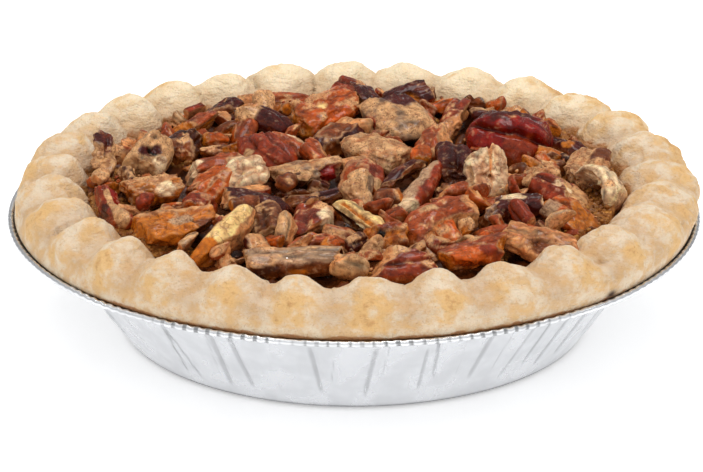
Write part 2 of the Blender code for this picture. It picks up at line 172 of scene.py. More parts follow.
def drawSection(name, points):         # a line in the XZ plane, extruded point by point
    bpy.ops.object.select_all(action="DESELECT")
    bpy.ops.mesh.primitive_plane_add(size=mm)
    obj = bpy.context.object
    obj.name = obj.data.name = name
    bpy.ops.object.mode_set(mode="EDIT")
    bpy.ops.mesh.select_all(action="SELECT")
    bpy.ops.mesh.merge(type="CENTER")
    last = (0.0, 0.0)
    for i, (radius, height) in enumerate(points):
        step = ((radius - last[0]) * mm, 0, (height - last[1]) * mm)
        if i == 0:
            bpy.ops.transform.translate(value=step)
        else:
            bpy.ops.mesh.extrude_region_move(TRANSFORM_OT_translate={"value": step})
        last = (radius, height)
    return obj


def spinSection(steps):                # turns the drawn line once round the Z axis
    bpy.ops.mesh.select_all(action="SELECT")
    bpy.ops.mesh.spin(steps=steps, angle=math.tau, center=(0, 0, 0), axis=(0, 0, 1),
                      use_auto_merge=True)
    bpy.ops.mesh.select_all(action="SELECT")
    bpy.ops.mesh.remove_doubles(threshold=1e-6)
    bpy.ops.mesh.normals_make_consistent(inside=False)
    bpy.ops.object.mode_set(mode="OBJECT")
    bpy.ops.object.shade_smooth()


def finishPiece(obj, material, slot, *nodes):
    obj.data.materials.clear()
    obj.data.materials.append(material)
    if nodes:
        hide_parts(*nodes)
    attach(obj, "root")


def meshObject(name, points, faces, smooth=True):
    data = bpy.data.meshes.new(name)
    data.from_pydata((np.asarray(points) * mm).tolist(), [], faces)
    if smooth:
        data.shade_smooth()
    obj = bpy.data.objects.new(name, data)
    bpy.context.scene.collection.objects.link(obj)
    return obj


# ---- tools for materials ----
def linear(colour):                    # from the colour seen to the light it reflects
    colour = np.asarray(colour, float)
    return np.where(colour < 0.04045, colour / 12.92, ((colour + 0.055) / 1.055) ** 2.4)


def newMaterial(name, roughness):
    material = bpy.data.materials.new(name)
    material.use_nodes = True
    tree = material.node_tree
    shader = tree.nodes["Principled BSDF"]
    shader.inputs["Roughness"].default_value = roughness

    def node(kind, **settings):        # adds a node; settings are its own or its sockets'
        made = tree.nodes.new("ShaderNode" + kind)
        for key, value in settings.items():
            if hasattr(made, key) and key not in made.inputs:
                setattr(made, key, value)
                continue
            socket = made.inputs[int(key[1:]) if key[0] == "i" and key[1:].isdigit() else key]
            if isinstance(value, bpy.types.NodeSocket):
                tree.links.new(value, socket)
            else:
                socket.default_value = value
        return made

    def link(source, target):
        tree.links.new(source, target)

    node.link = link
    return material, shader, node


def noiseOf(node, where, scale, detail=3.0, rough=0.55):
    return node("TexNoise", Vector=where, Scale=scale, Detail=detail, Roughness=rough).outputs["Fac"]


def rangeOf(node, value, low, high, start=0.0, end=1.0):
    made = node("MapRange", Value=value)
    made.interpolation_type = "SMOOTHSTEP"
    for key, number in zip(("From Min", "From Max", "To Min", "To Max"), (low, high, start, end)):
        made.inputs[key].default_value = number
    return made.outputs["Result"]


def mixOf(node, share, first, second, blend="MIX"):
    made = node("Mix", data_type="RGBA", blend_type=blend)
    for key, value in (("Factor", share), ("A", first), ("B", second)):
        kind = "VALUE" if key == "Factor" else "RGBA"
        socket = [s for s in made.inputs if s.name == key and s.type == kind][0]
        if isinstance(value, bpy.types.NodeSocket):
            node.link(value, socket)
        else:
            socket.default_value = value if key == "Factor" else (*value, 1)
    return [s for s in made.outputs if s.type == "RGBA"][0]


def mathOf(node, operation, first, second):
    return node("Math", operation=operation, i0=first, i1=second).outputs[0]


# ---- the foil tin ----
tin = {"rim": 116.0, "bead": 1.0, "mouth": 103.6, "flangeZ": 37.1, "foot": 79.5, "base": 77.0,
       "wall": 0.5, "steps": 720, "creases": 74, "creaseDepth": 0.8, "crimps": 190,
       "colour": (0.90, 0.905, 0.915), "roughness": 0.30}


def buildTin():
    flangeTop = tin["flangeZ"] + tin["wall"]
    outer = [(0.001, 0.0), (30, 0.0), (60, 0.0), (tin["base"] - 2, 0.0), (tin["base"], 0.05),
             (78.6, 0.8), (tin["foot"], 2.35)]
    rise = [(tin["foot"] + (tin["mouth"] - 1.2 - tin["foot"]) * t, 2.35 + (35.6 - 2.35) * t)
            for t in np.linspace(0.04, 1, 26)]
    turn = [(102.9, 36.5), (103.8, 37.0), (105.0, 37.1), (108, 37.1), (111, 37.1), (113.5, 37.1)]
    middle = (tin["rim"] - tin["bead"], tin["flangeZ"] + tin["bead"])
    bead = [(middle[0] + tin["bead"] * math.cos(a), middle[1] + tin["bead"] * math.sin(a))
            for a in np.radians(np.linspace(-90, 170, 12))]
    back = [(tin["rim"] - 2.4, flangeTop), (110, flangeTop), (106, flangeTop), (103.4, flangeTop),
            (91.5, 20.3), (79.0, 2.6), (77.4, 1.0), (tin["base"] - 1, tin["wall"]), (0.001, tin["wall"])]
    obj = drawSection("tin", outer + rise + turn + bead + back)
    spinSection(tin["steps"])
    points = getPoints(obj)
    radius = np.hypot(points[:, 0], points[:, 1])
    angle = np.arctan2(points[:, 1], points[:, 0])
    height = points[:, 2]
    rng = random.Random(5)
    # creases pressed into the wall, each a narrow fold that runs a little aslant
    wall = smoothStep(3, 9, height) * (1 - smoothStep(32, 36.4, height)) * (radius > 78)
    fold = np.zeros(len(points))
    for i in range(tin["creases"]):
        centre = math.tau * (i + rng.uniform(-0.42, 0.42)) / tin["creases"] - math.pi
        slant = rng.uniform(-0.0016, 0.0016)
        wide = 0.005 + 0.013 * rng.random() ** 2
        deep = rng.uniform(0.15, 1.0) ** 1.3
        start, end = rng.uniform(2, 14), rng.uniform(24, 37)
        away = np.angle(np.exp(1j * (angle - centre - slant * (height - 18))))
        along = smoothStep(start - 3, start + 3, height) * (1 - smoothStep(end - 4, end + 3, height))
        dip, lip = np.exp(-(away / wide) ** 2), np.exp(-((away - 2.2 * wide) / wide) ** 2)
        fold += deep * along * (dip - 0.6 * lip)
    ring = np.column_stack([np.cos(angle) * 90, np.sin(angle) * 90, height])
    dents = roughNoise(ring, np.array([14.0, 14.0, 22.0]), 3, 2) * 0.35
    kinks = np.maximum(lumpNoise(ring, (9.0, 9.0, 5.0), 8) - 0.45, 0) * 0.5 * smoothStep(20, 30, height)
    shift = -wall * (tin["creaseDepth"] * fold + dents + kinks)
    # the flange waves a little, and its bead is crimped
    outside = smoothStep(104.5, 107, radius) * (height > 30)
    crimp = np.sin(angle * tin["crimps"] + 2.5 * lumpNoise(ring, 11.0, 21))
    crimp = crimp * (0.55 + 0.45 * lumpNoise(ring, 7.0, 23))
    edge = smoothStep(110.5, 114, radius) * (height > 30)
    flat = ring * np.array([1, 1, 0])
    wave = 0.35 * lumpNoise(flat, 26.0, 31) + 0.12 * lumpNoise(flat, 6.0, 33)
    points[:, 2] += outside * wave * 0.8 + edge * crimp * 0.22
    shift -= edge * (0.12 + 0.16 * crimp)
    scale = (radius + shift) / np.maximum(radius, 1e-6)
    points[:, 0] *= scale
    points[:, 1] *= scale
    setPoints(obj, points)
    # fold also carries painted shade: the colour darkens along each crease of the wall
    paint(obj, "fold", np.clip(wall * fold * 1.4, -1, 1))
    # crimp also carries painted shade: the bead's crimps are darkened along the front only
    paint(obj, "crimp", edge * crimp * smoothStep(0.70, 0.95, -np.sin(angle)))
    material, shader, node = newMaterial("foil", tin["roughness"])
    shader.inputs["Metallic"].default_value = 1.0
    where = node("TexCoord").outputs["Object"]
    cloud = noiseOf(node, where, 90.0, 2.0)
    colour = mixOf(node, rangeOf(node, cloud, 0.3, 0.7), tuple(linear(tin["colour"])),
                   tuple(linear(np.array(tin["colour"]) * 0.95)))
    fold = node("Attribute", attribute_name="fold").outputs["Fac"]
    crimp = node("Attribute", attribute_name="crimp").outputs["Fac"]
    # shadowed: the foil's colour in painted shade, for the wall's creases and the bead's crimps
    shadowed = tuple(linear(np.array(tin["colour"]) * 0.62))
    # painted shade along the wall's creases
    colour = mixOf(node, rangeOf(node, fold, 0.1, 0.9, 0.0, 0.4), colour, shadowed)
    # painted shade in the crimps of the bead
    colour = mixOf(node, rangeOf(node, crimp, 0.0, 0.55, 0.0, 1.0), colour, shadowed)
    # painted contact shadow: the foil turns near black in its lowest two millimetres, where it meets the
    # floor
    foot = node("SeparateXYZ", Vector=where).outputs["Z"]
    colour = mixOf(node, rangeOf(node, foot, 0.0004, 0.0018, 0.75, 0.0), colour, (0.10, 0.10, 0.11))
    node.link(colour, shader.inputs["Base Color"])
    grain = noiseOf(node, node("Mapping", Vector=where, Scale=(1, 1, 0.25)).outputs[0], 1500.0, 2.0)
    node.link(rangeOf(node, cloud, 0.3, 0.7, 0.24, 0.38), shader.inputs["Roughness"])
    bump = node("Bump", Height=grain, Strength=0.12, Distance=0.0002)
    node.link(bump.outputs[0], shader.inputs["Normal"])
    finishPiece(obj, material, "foil", "pie_tin")
    print("tin done", len(obj.data.vertices))


# ---- the pastry crust ----
crust = {"lobes": 29, "stepsPerLobe": 28, "firstLobe": 92.7, "drift": 3.5, "swell": 2.3,
         "creaseDrop": 4.7, "shift": 1.3, "seed": 41, "lumps": 0.85, "wrinkles": 0.34,
         # rear tint: painted light, a paler colour laid on the back of the crust
         "pale": (0.91, 0.83, 0.72), "rear": (1.0, 0.92, 0.77),
         "shade": (0.74, 0.58, 0.42), "dough": (0.86, 0.72, 0.55), "toast": (0.90, 0.72, 0.46),
         "brown": (0.70, 0.46, 0.26), "stain": (0.68, 0.43, 0.18), "char": (0.24, 0.12, 0.07)}


def crustSection():
    rim = [(102.9, 38.02), (107, 38.0), (111.6, 38.05), (113.3, 38.7), (113.8, 41.0), (113.7, 44.4),
           (112.7, 48.0), (110.3, 51.3), (107.0, 53.9), (103.2, 55.3), (99.6, 55.3), (96.2, 53.8),
           (93.2, 51.0), (90.9, 47.9), (89.3, 44.8), (88.7, 41.0)]
    under = [(0.001, 0.9), (40, 0.9), (75.3, 0.9), (80, 4.6), (91, 20.6)]
    lining = [(84.8, 33), (81, 20), (76.0, 7.2), (70, 4.7), (35, 4.7), (0.001, 4.7)]
    return under + [tuple(p) for p in smoothCurve(rim, 4)] + lining


def buildCrust():
    obj = drawSection("crustPastry", crustSection())
    spinSection(crust["lobes"] * crust["stepsPerLobe"])
    points = getPoints(obj)
    radius = np.hypot(points[:, 0], points[:, 1])
    angle = np.arctan2(points[:, 1], points[:, 0]) % math.tau
    height = points[:, 2]
    rng = random.Random(crust["seed"])
    lift = np.array([rng.uniform(-0.7, 0.5) for _ in range(crust["lobes"])])
    swell = np.array([rng.uniform(0.7, 1.25) for _ in range(crust["lobes"])])
    lobeWidth = math.tau / crust["lobes"]
    share = angle / lobeWidth
    lobe = np.minimum(share.astype(int), crust["lobes"] - 1)
    phase = share - lobe
    low = np.where(radius > 107.6, 38.1, 41.5)
    rim = smoothStep(low, 45.5, height)
    # soft wandering of each crease, so that no two lobes are alike
    ring = np.column_stack([np.cos(angle) * radius, np.sin(angle) * radius, height])
    bentPhase = np.clip(phase + 0.06 * lumpNoise(ring, 9.0, 4) * np.sin(math.pi * phase), 0, 1)
    turn = angle + math.radians(crust["firstLobe"]) - lobeWidth / 2
    turn = turn - math.radians(crust["drift"]) * (1 - np.cos(angle - lobeWidth / 2))
    # knobs with wide valleys in front, full rounds at the back, merging at the right
    behind = smoothStep(-0.3, 0.7, np.sin(turn))
    merge = 1 - 0.4 * smoothStep(0.86, 0.98, np.cos(turn + math.radians(6)))
    pillow = np.abs(np.sin(math.pi * bentPhase)) ** (2.0 - 1.0 * behind)
    pillow = 0.55 + (pillow - 0.55) * merge
    tall = smoothStep(45.5, 55.4, height)
    inward = smoothStep(101, 93, radius) * rim
    outward = np.cos(math.pi * np.clip((radius - 89.4) / 24, 0, 1))
    hold = np.where(outward < 0, smoothStep(38.5, 50, height), 1)      # the hem runs even
    newRadius = radius - outward * crust["swell"] * (pillow - 0.5) * swell[lobe] * rim * hold
    newRadius += (1.1 + 1.0 * behind) * inward * (1 - pillow) * swell[lobe]
    newHeight = height + tall * (lift[lobe] * pillow
                                 - crust["creaseDrop"] * (1 - pillow) * swell[lobe])
    lean = crust["shift"] * rim * smoothStep(90.4, 101.5, newRadius)
    points = np.column_stack([newRadius * np.cos(turn) + lean, newRadius * np.sin(turn), newHeight])
    setPoints(obj, points)
    # baked unevenness: soft lumps, radial wrinkles and small pits, all along the surface's normal
    normals = getNormals(obj)
    away = np.hypot(points[:, 0], points[:, 1])
    bearing = np.arctan2(points[:, 1], points[:, 0])
    wrapped = np.column_stack([np.cos(bearing) * 100 / 1.5, np.sin(bearing) * 100 / 1.5,
                               away / 9 + height / 14])
    right = smoothStep(20, 95, points[:, 0])
    lumps = crust["lumps"] * lumpNoise(points, 8.0, 2) + 0.5 * crust["lumps"] * lumpNoise(points, 4.0, 6)
    wrinkles = crust["wrinkles"] * (0.35 + right) * lumpNoise(wrapped, 1.0, 9)
    grain = (0.30 + 0.2 * right) * lumpNoise(points, 2.4, 12) + 0.15 * lumpNoise(points, 1.1, 13)
    pits = -0.6 * smoothStep(0.6, 0.9, lumpNoise(points, 2.1, 15)) * (0.4 + right)
    relief = (lumps + wrinkles + grain + pits - 0.1) * rim * rim
    points = points + normals * relief[:, None]
    points[:, 2] = np.maximum(points[:, 2], 0.85)
    setPoints(obj, points)
    # toast: low on the outer face of each lobe, on crests and in patches; stain: along the filling
    outerFace = smoothStep(104, 111, away) * (1 - smoothStep(50.5, 54, points[:, 2]))
    patch = roughNoise(points, 13.0, 40, 3)
    lobeTone = np.array([rng.uniform(0.0, 1.0) for _ in range(crust["lobes"])])[lobe]
    spot = roughNoise(points, 4.5, 43, 3)
    toast = outerFace * (0.3 + 0.7 * pillow) * (0.3 + 0.5 * lobeTone) * (0.8 + 0.8 * spot)
    toast += 0.45 * smoothStep(0.1, 0.7, patch)
    rightEnd = smoothStep(0.75, 0.98, np.cos(bearing - math.radians(28)))
    toast += 0.45 * rightEnd * smoothStep(100, 106, away) * (0.7 + spot)
    toast += 0.4 * rightEnd * smoothStep(0.2, 1, pillow) * (0.7 + spot)
    toast += 0.5 * (0.3 + lobeTone) * smoothStep(0.3, 1, pillow) * smoothStep(0.1, 0.5, spot)
    # painted shade: the creases between the lobes darken
    crease = (1 - pillow) ** 2 * smoothStep(41, 47, points[:, 2])
    # painted shade on the lower inner face of the crust, above the filling
    deep = (1 - smoothStep(93, 101, away)) * (1 - smoothStep(47, 53.5, points[:, 2] + 1.5 * patch))
    ends = np.abs(np.cos(bearing)) ** 3
    hem = 1 - smoothStep(38.8, 41.0 - 1.4 * ends, points[:, 2] + 0.8 * lumpNoise(points, 3.0, 51))
    hem = hem * (1 - 0.75 * smoothStep(0.55, 0.9, np.abs(np.cos(bearing))))
    rearRight = smoothStep(0.3, 0.8, np.cos(bearing - math.radians(30)))
    rearLeft = smoothStep(0.7, 0.98, np.cos(bearing - math.radians(130)))
    left = smoothStep(0.93, 0.99, np.cos(bearing - math.radians(188)))
    climb = 45.3 + 1.7 * rearRight + 1.0 * rearLeft + 0.8 * left + 1.3 * lumpNoise(points, 6.0, 55)
    climb += 1.0 * lumpNoise(points, 2.5, 57)
    inner = 1 - smoothStep(93.5, 97.5, away)
    stain = (1 - smoothStep(climb - 1.2, climb + 1.8, points[:, 2])) * inner
    charSpot = np.exp(-(((points[:, 0] - 81) / 1.9) ** 2 + ((points[:, 1] + 78.5) / 2.2) ** 2
                        + ((points[:, 2] - 40.3) / 1.2) ** 2))
    paint(obj, "toast", np.clip(toast, 0, 1) * rim)
    # painted light: the back of the crust gets a paler tint
    paint(obj, "rear", smoothStep(15, 90, points[:, 1]) * rim)
    paint(obj, "crease", crease)
    paint(obj, "deep", np.clip(deep, 0, 1))
    paint(obj, "hem", np.clip(hem, 0, 1))
    paint(obj, "stain", np.clip(stain, 0, 1))
    paint(obj, "char", np.clip(charSpot * 1.6, 0, 1))
    finishPiece(obj, pastryMaterial(), "pastry", "crust")
    print("crust done", len(obj.data.vertices))


def pastryMaterial():
    material, shader, node = newMaterial("bakedPastry", 0.62)
    where = node("TexCoord").outputs["Object"]

    def value(name):
        return node("Attribute", attribute_name=name).outputs["Fac"]

    def tint(name):
        return tuple(linear(crust[name]))

    def about(noise, strength):        # a noise round nought, to fray an edge
        return mathOf(node, "MULTIPLY", mathOf(node, "SUBTRACT", noise, 0.5), strength)

    mottle = noiseOf(node, where, 170.0, 4.0, 0.62)
    fine = noiseOf(node, where, 620.0, 3.0, 0.6)
    speck = noiseOf(node, where, 1500.0, 2.0, 0.6)
    flake = node("Mapping", Vector=where, Scale=(1, 1, 2.6)).outputs[0]
    streak = noiseOf(node, flake, 330.0, 4.0, 0.6)
    base = mixOf(node, rangeOf(node, mottle, 0.38, 0.62), tint("pale"), tint("dough"))
    base = mixOf(node, rangeOf(node, streak, 0.52, 0.68, 0.0, 0.45), base, tint("toast"))
    # painted light on the back of the crust
    base = mixOf(node, mathOf(node, "MULTIPLY", value("rear"), 0.75), base, tint("rear"))
    toasted = mathOf(node, "ADD", value("toast"), about(mottle, 1.7))
    base = mixOf(node, rangeOf(node, toasted, 0.05, 0.9, 0.0, 0.85), base, tint("toast"))
    browned = mathOf(node, "MULTIPLY", toasted, fine)
    base = mixOf(node, rangeOf(node, browned, 0.42, 0.75, 0.0, 0.5), base, tint("brown"))
    base = mixOf(node, rangeOf(node, speck, 0.60, 0.74, 0.0, 0.45), base, tint("brown"))
    base = mixOf(node, rangeOf(node, fine, 0.58, 0.75, 0.0, 0.3), base, tint("toast"))
    # painted shade in the creases between the lobes
    base = mixOf(node, mathOf(node, "MULTIPLY", value("crease"), 0.45), base, tint("shade"))
    # painted shade on the lower inner face
    base = mixOf(node, mathOf(node, "MULTIPLY", value("deep"), 0.5), base, tint("shade"))
    hem = rangeOf(node, mathOf(node, "ADD", value("hem"), about(fine, 0.6)), 0.3, 0.8, 0.0, 0.9)
    base = mixOf(node, hem, base, tint("brown"))
    stained = rangeOf(node, mathOf(node, "ADD", value("stain"), about(fine, 0.8)), 0.2, 0.85, 0.0, 0.9)
    base = mixOf(node, stained, base, tint("stain"))
    base = mixOf(node, value("char"), base, tint("char"))
    node.link(base, shader.inputs["Base Color"])
    dry = rangeOf(node, fine, 0.3, 0.7, 0.58, 0.78)
    node.link(mathOf(node, "SUBTRACT", dry, mathOf(node, "MULTIPLY", stained, 0.4)),
              shader.inputs["Roughness"])
    shader.inputs["Subsurface Weight"].default_value = 0.12
    shader.inputs["Subsurface Radius"].default_value = (1.0, 0.6, 0.35)
    shader.inputs["Subsurface Scale"].default_value = 0.002
    relief = mathOf(node, "ADD", fine, mathOf(node, "MULTIPLY", speck, 0.5))
    relief = mathOf(node, "ADD", relief, mathOf(node, "MULTIPLY", streak, 1.2))
    bump = node("Bump", Height=relief, Strength=0.75, Distance=0.0009)
    node.link(bump.outputs[0], shader.inputs["Normal"])
    return material


# ---- the nuts ----
# coats: colour as seen, and how wet it looks (0 dry to 1 glazed)
coats = {
    "deepRed": ((0.64, 0.11, 0.05), 0.95), "red": ((0.68, 0.28, 0.13), 0.80),
    "rust": ((0.74, 0.37, 0.16), 0.75), "brown": ((0.56, 0.31, 0.14), 0.70),
    "dark": ((0.36, 0.16, 0.08), 0.85), "purple": ((0.39, 0.12, 0.08), 0.85),
    "orange": ((0.84, 0.43, 0.11), 0.90), "amber": ((0.86, 0.55, 0.17), 0.90),
    "caramel": ((0.92, 0.69, 0.46), 0.65), "tan": ((0.88, 0.72, 0.53), 0.40),
    "greyTan": ((0.82, 0.68, 0.54), 0.40), "cream": ((1.0, 0.90, 0.75), 0.45),
    # black: near-black painted shade, laid as a mark into slots and dents
    "butter": ((1.0, 0.87, 0.62), 0.55), "black": ((0.10, 0.05, 0.04), 0.90)}
paleCoats = ("cream", "butter", "tan", "greyTan", "caramel")
nuts = {"cuts": 28, "glaze": (0.70, 0.42, 0.15), "grow": 1.20, "seed": 300,
        "lump": 0.85, "smallLump": 0.32, "jag": 0.6,
        "chips": {"half": 0, "sliver": 1, "stick": 2, "kernel": 1, "end": 2, "chunk": 3},
        # pieces with more or fewer corners chipped off than others of their kind
        "chipped": {"caramel_block": 1, "front_slab": 1, "tan_block_left": 2, "two_tone_rear": 1,
                    "tan_oval": 1, "orange_right": 1, "red_ridged": 0, "long_diagonal": 1,
                    "left_bend": 0, "cream_curl": 0, "cream_stick": 1, "front_cream": 1,
                    "caramel_front": 4, "front_orange": 4, "red_ledge": 3, "grey_notched": 3},
        # degrees by which a piece is curled sideways
        "bent": {"left_bend": 95, "cream_curl": -90, "bent_red": -55, "left_fin": 25, "front_cream": -25,
                 "rear_skin_left": 25, "purple_mid": 30, "cream_stick": 15, "rear_left_red": 30,
                 "striped_right": 45, "red_ridged": -40, "thin_brown": 20, "long_dark_skin": -25},
        # how deep a piece is creased all over, in mm
        "ruffled": {"cream_flower": 0.5, "cream_cracked": 0.6, "round_tan": 0.7, "far_right_lump": 0.8,
                    "amber_rear": 0.8, "left_clump": 0.9, "tan_bubbly": 0.7, "grey_notched": 0.8,
                    "caramel_front": 0.7, "left_amber": 0.8, "front_orange": 0.5, "middle_low": 0.7},
        # a little aside from its place in the CAD, in mm
        "moved": {"tall_rear": (0, 0, -3.4), "caramel_front": (3.0, -4.5, -1.5), "cream_flower": (-3, 4, 3.4),
                  "cream_curl": (2.5, 4, 1.4), "tall_slotted": (1, 0, 0.2), "round_tan": (-1, 0, -1.5),
                  "two_tone_rear": (0, 0, -1), "cream_cracked": (0, 0, -1.5),
                  "left_fin": (-2, 0, 0), "left_bend": (-2, 0, 0.5), "far_right_lump": (2.5, 0, 0),
                  "left_clump": (-2.5, 0, 0)},
        # share of the CAD nut's size, where it differs: in all, or along, across and up
        "scaled": {"tall_rear": 0.95, "left_fin": (1.3, 1.5, 2.2), "two_tone_rear": (1.15, 1.15, 1.08),
                   "cream_curl": (1.4, 2.0, 2.1), "cream_flower": (1.15, 1.3, 0.9),
                   "left_bend": (1.25, 1.6, 1.3), "big_half": (0.98, 1.25, 1.45),
                   "caramel_block": (1.0, 1.4, 1.3), "cream_cracked": (1.25, 1.5, 1.3),
                   "cream_over_purple": 1.1, "grey_notched": 1.1, "front_slab": (1.08, 1.2, 1.15),
                   "front_cream": (1.25, 1.35, 1.2), "red_ridged": (1.2, 1.1, 1.2),
                   "cream_stick": (1.25, 1.25, 1.2), "long_diagonal": (1.15, 1.3, 1.2),
                   "tall_slotted": (1.0, 1.0, 1.4), "left_clump": (1.05, 1.4, 1.2),
                   "orange_right": (1.3, 1.3, 1.25), "bent_red": (1.15, 1.4, 1.25)},
        # narrower towards the top by this share
        "tapered": {"tall_slotted": 0.35, "left_fin": 0.2, "two_tone_rear": 0.2, "caramel_block": 0.1},
        # leaned from where the CAD nut lies, in degrees about X and Y
        "leaned": {"cream_flower": (38, -6), "cream_cracked": (24, 8)},
        # pieces broken in another way than their kind's
        "brokenAs": {"front_slab": "chunk", "left_bend": "end", "cream_flower": "flower",
                     "cream_cracked": "end", "caramel_block": "kernel"}}
# label: kind, heading, pitch and roll in degrees as in the CAD, skin, flesh, share under
# foam, then marks: (x, y, z towards it from the middle, spread in degrees, coat, dent in mm);
# two more numbers make a mark a band along the piece, from one share of its length to another
lowerNuts = {
    "rear_skin_left": ("stick", 4, 4, 60, "rust", "caramel", 0.15, (0, -1, -0.3, 40, "amber", 0)),
    "rear_skin_mid": ("end", 150, 8, 15, "red", "caramel", 0.05, (0.6, -0.6, 0.6, 26, "orange", 0.5)),
    "rear_corner": ("stick", 50, 16, 40, "purple", "brown", 0.1),
    "rear_right_long": ("stick", 80, 10, 20, "red", "caramel", 0.1),
    "rear_right_low": ("end", 80, 6, 20, "rust", "caramel", 0.15),
    "glazed_side": ("stick", 128, 4, 30, "purple", "brown", 0.1, (0, -0.6, 0.8, 30, "amber", 0)),
    "rear_left_red": ("stick", 42, 12, 20, "rust", "amber", 0.1, (-0.8, -0.6, 0, 42, "amber", 0.6)),
    "left_brown": ("chunk", 70, 6, 30, "dark", "brown", 0.15),
    "left_amber": ("chunk", 20, 4, 150, "brown", "amber", 0.3),
    "left_fin": ("sliver", 84, 22, 72, "purple", "tan", 0.0, (1, -0.2, 0.2, 34, "tan", 0.4, -0.6, 0.7)),
    "left_bend": ("stick", 106, 12, 110, "red", "tan", 0.0, (-0.8, -0.6, 0.1, 48, "purple", 0),
                  (0.1, -0.5, 0.8, 30, "tan", 0, -1.2, 0.5), (0.8, -0.2, 0.6, 34, "deepRed", 1.0, -0.4, 1.2)),
    "left_small_skin": ("end", 80, 6, 30, "red", "orange", 0.1),
    "orange_knob": ("kernel", 60, 20, 0, "orange", "orange", 0.05),
    "purple_left": ("end", 172, 6, 25, "purple", "caramel", 0.05, (-0.8, -0.6, 0.1, 25, "tan", 0.3)),
    "purple_mid": ("stick", 14, 6, 40, "purple", "brown", 0.05),
    "amber_rear": ("chunk", 40, 10, 185, "orange", "amber", 0.25, (0, -0.5, 0.9, 24, "butter", 0.4),
                   (0.6, -0.8, -0.1, 38, "orange", 0.8)),
    "purple_strip": ("sliver", 105, 10, 40, "purple", "tan", 0.05),
    "orange_ball": ("kernel", 0, 0, 0, "orange", "orange", 0.0),
    "dark_middle": ("end", 60, 10, 20, "purple", "brown", 0.05),
    "pale_edged_red": ("end", 150, 8, 20, "rust", "cream", 0.05, (0, 0.5, 0.9, 24, "cream", 0)),
    "red_centre": ("end", 80, 6, 15, "red", "rust", 0.1, (0.8, -0.5, 0.3, 26, "tan", 0.4)),
    "small_right": ("kernel", 30, 0, 0, "rust", "caramel", 0.1),
    "middle_front": ("chunk", 80, 30, 20, "greyTan", "tan", 0.4),
    "dark_cavity": ("end", 96, 14, 190, "purple", "dark", 0.0, (-0.1, -0.8, 0.5, 46, "dark", 3.2),
                    (0.7, -0.6, -0.4, 30, "rust", 0)),
    "far_right_lump": ("chunk", 75, 4, 170, "brown", "amber", 0.75, (0.6, 0.4, 0.5, 30, "brown", 0.5)),
    "striped_right": ("end", 140, 8, 10, "red", "tan", 0.2, (-0.4, -0.3, 0.9, 20, "cream", 0.3),
                      (0.5, -0.6, 0.5, 16, "cream", 0)),
    "long_dark_skin": ("stick", 58, 12, 40, "purple", "brown", 0.0),
    "slab_right": ("stick", 174, 4, 60, "rust", "caramel", 0.1, (0, 0.2, 1, 34, "tan", 0)),
    "caramel_front": ("end", 150, 4, 175, "caramel", "caramel", 0.25, (0.3, -0.8, 0.5, 30, "brown", 2.6)),
    "tan_block_left": ("chunk", 100, 8, 150, "brown", "tan", 0.4, (0.9, -0.4, 0.2, 30, "red", 0)),
    "thin_brown": ("sliver", 6, 2, 20, "rust", "caramel", 0.1),
    "front_red": ("end", 12, 4, 15, "red", "caramel", 0.1, (0, 0.3, 1, 38, "tan", 0)),
    "front_orange": ("chunk", 30, 6, 160, "rust", "amber", 0.25, (0, -1, 0.2, 46, "orange", 0.6),
                     (0.5, -0.6, 0.5, 20, "red", 0)),
    "orange_right": ("end", 135, 10, 15, "orange", "amber", 0.05, (-0.9, -0.2, 0.6, 36, "greyTan", 0)),
    "red_ridged": ("end", 118, 10, -20, "red", "caramel", 0.0, (-0.9, -0.3, 0.2, 18, "tan", 0)),
    "cream_cracked": ("kernel", 96, 6, 0, "cream", "cream", 0.0, (0.1, -0.9, 0.2, 14, "caramel", 1.2),
                      (0.15, 0, 1, 9, "caramel", 1.3, -0.9, 0.9), (-0.9, 0, 0.5, 8, "tan", 0.9, -0.8, 0.2)),
    # the near-black mark in a dent is painted shade
    "middle_low": ("chunk", 10, 4, 30, "rust", "amber", 0.2, (-0.4, -0.6, 0.7, 26, "black", 1.2)),
}
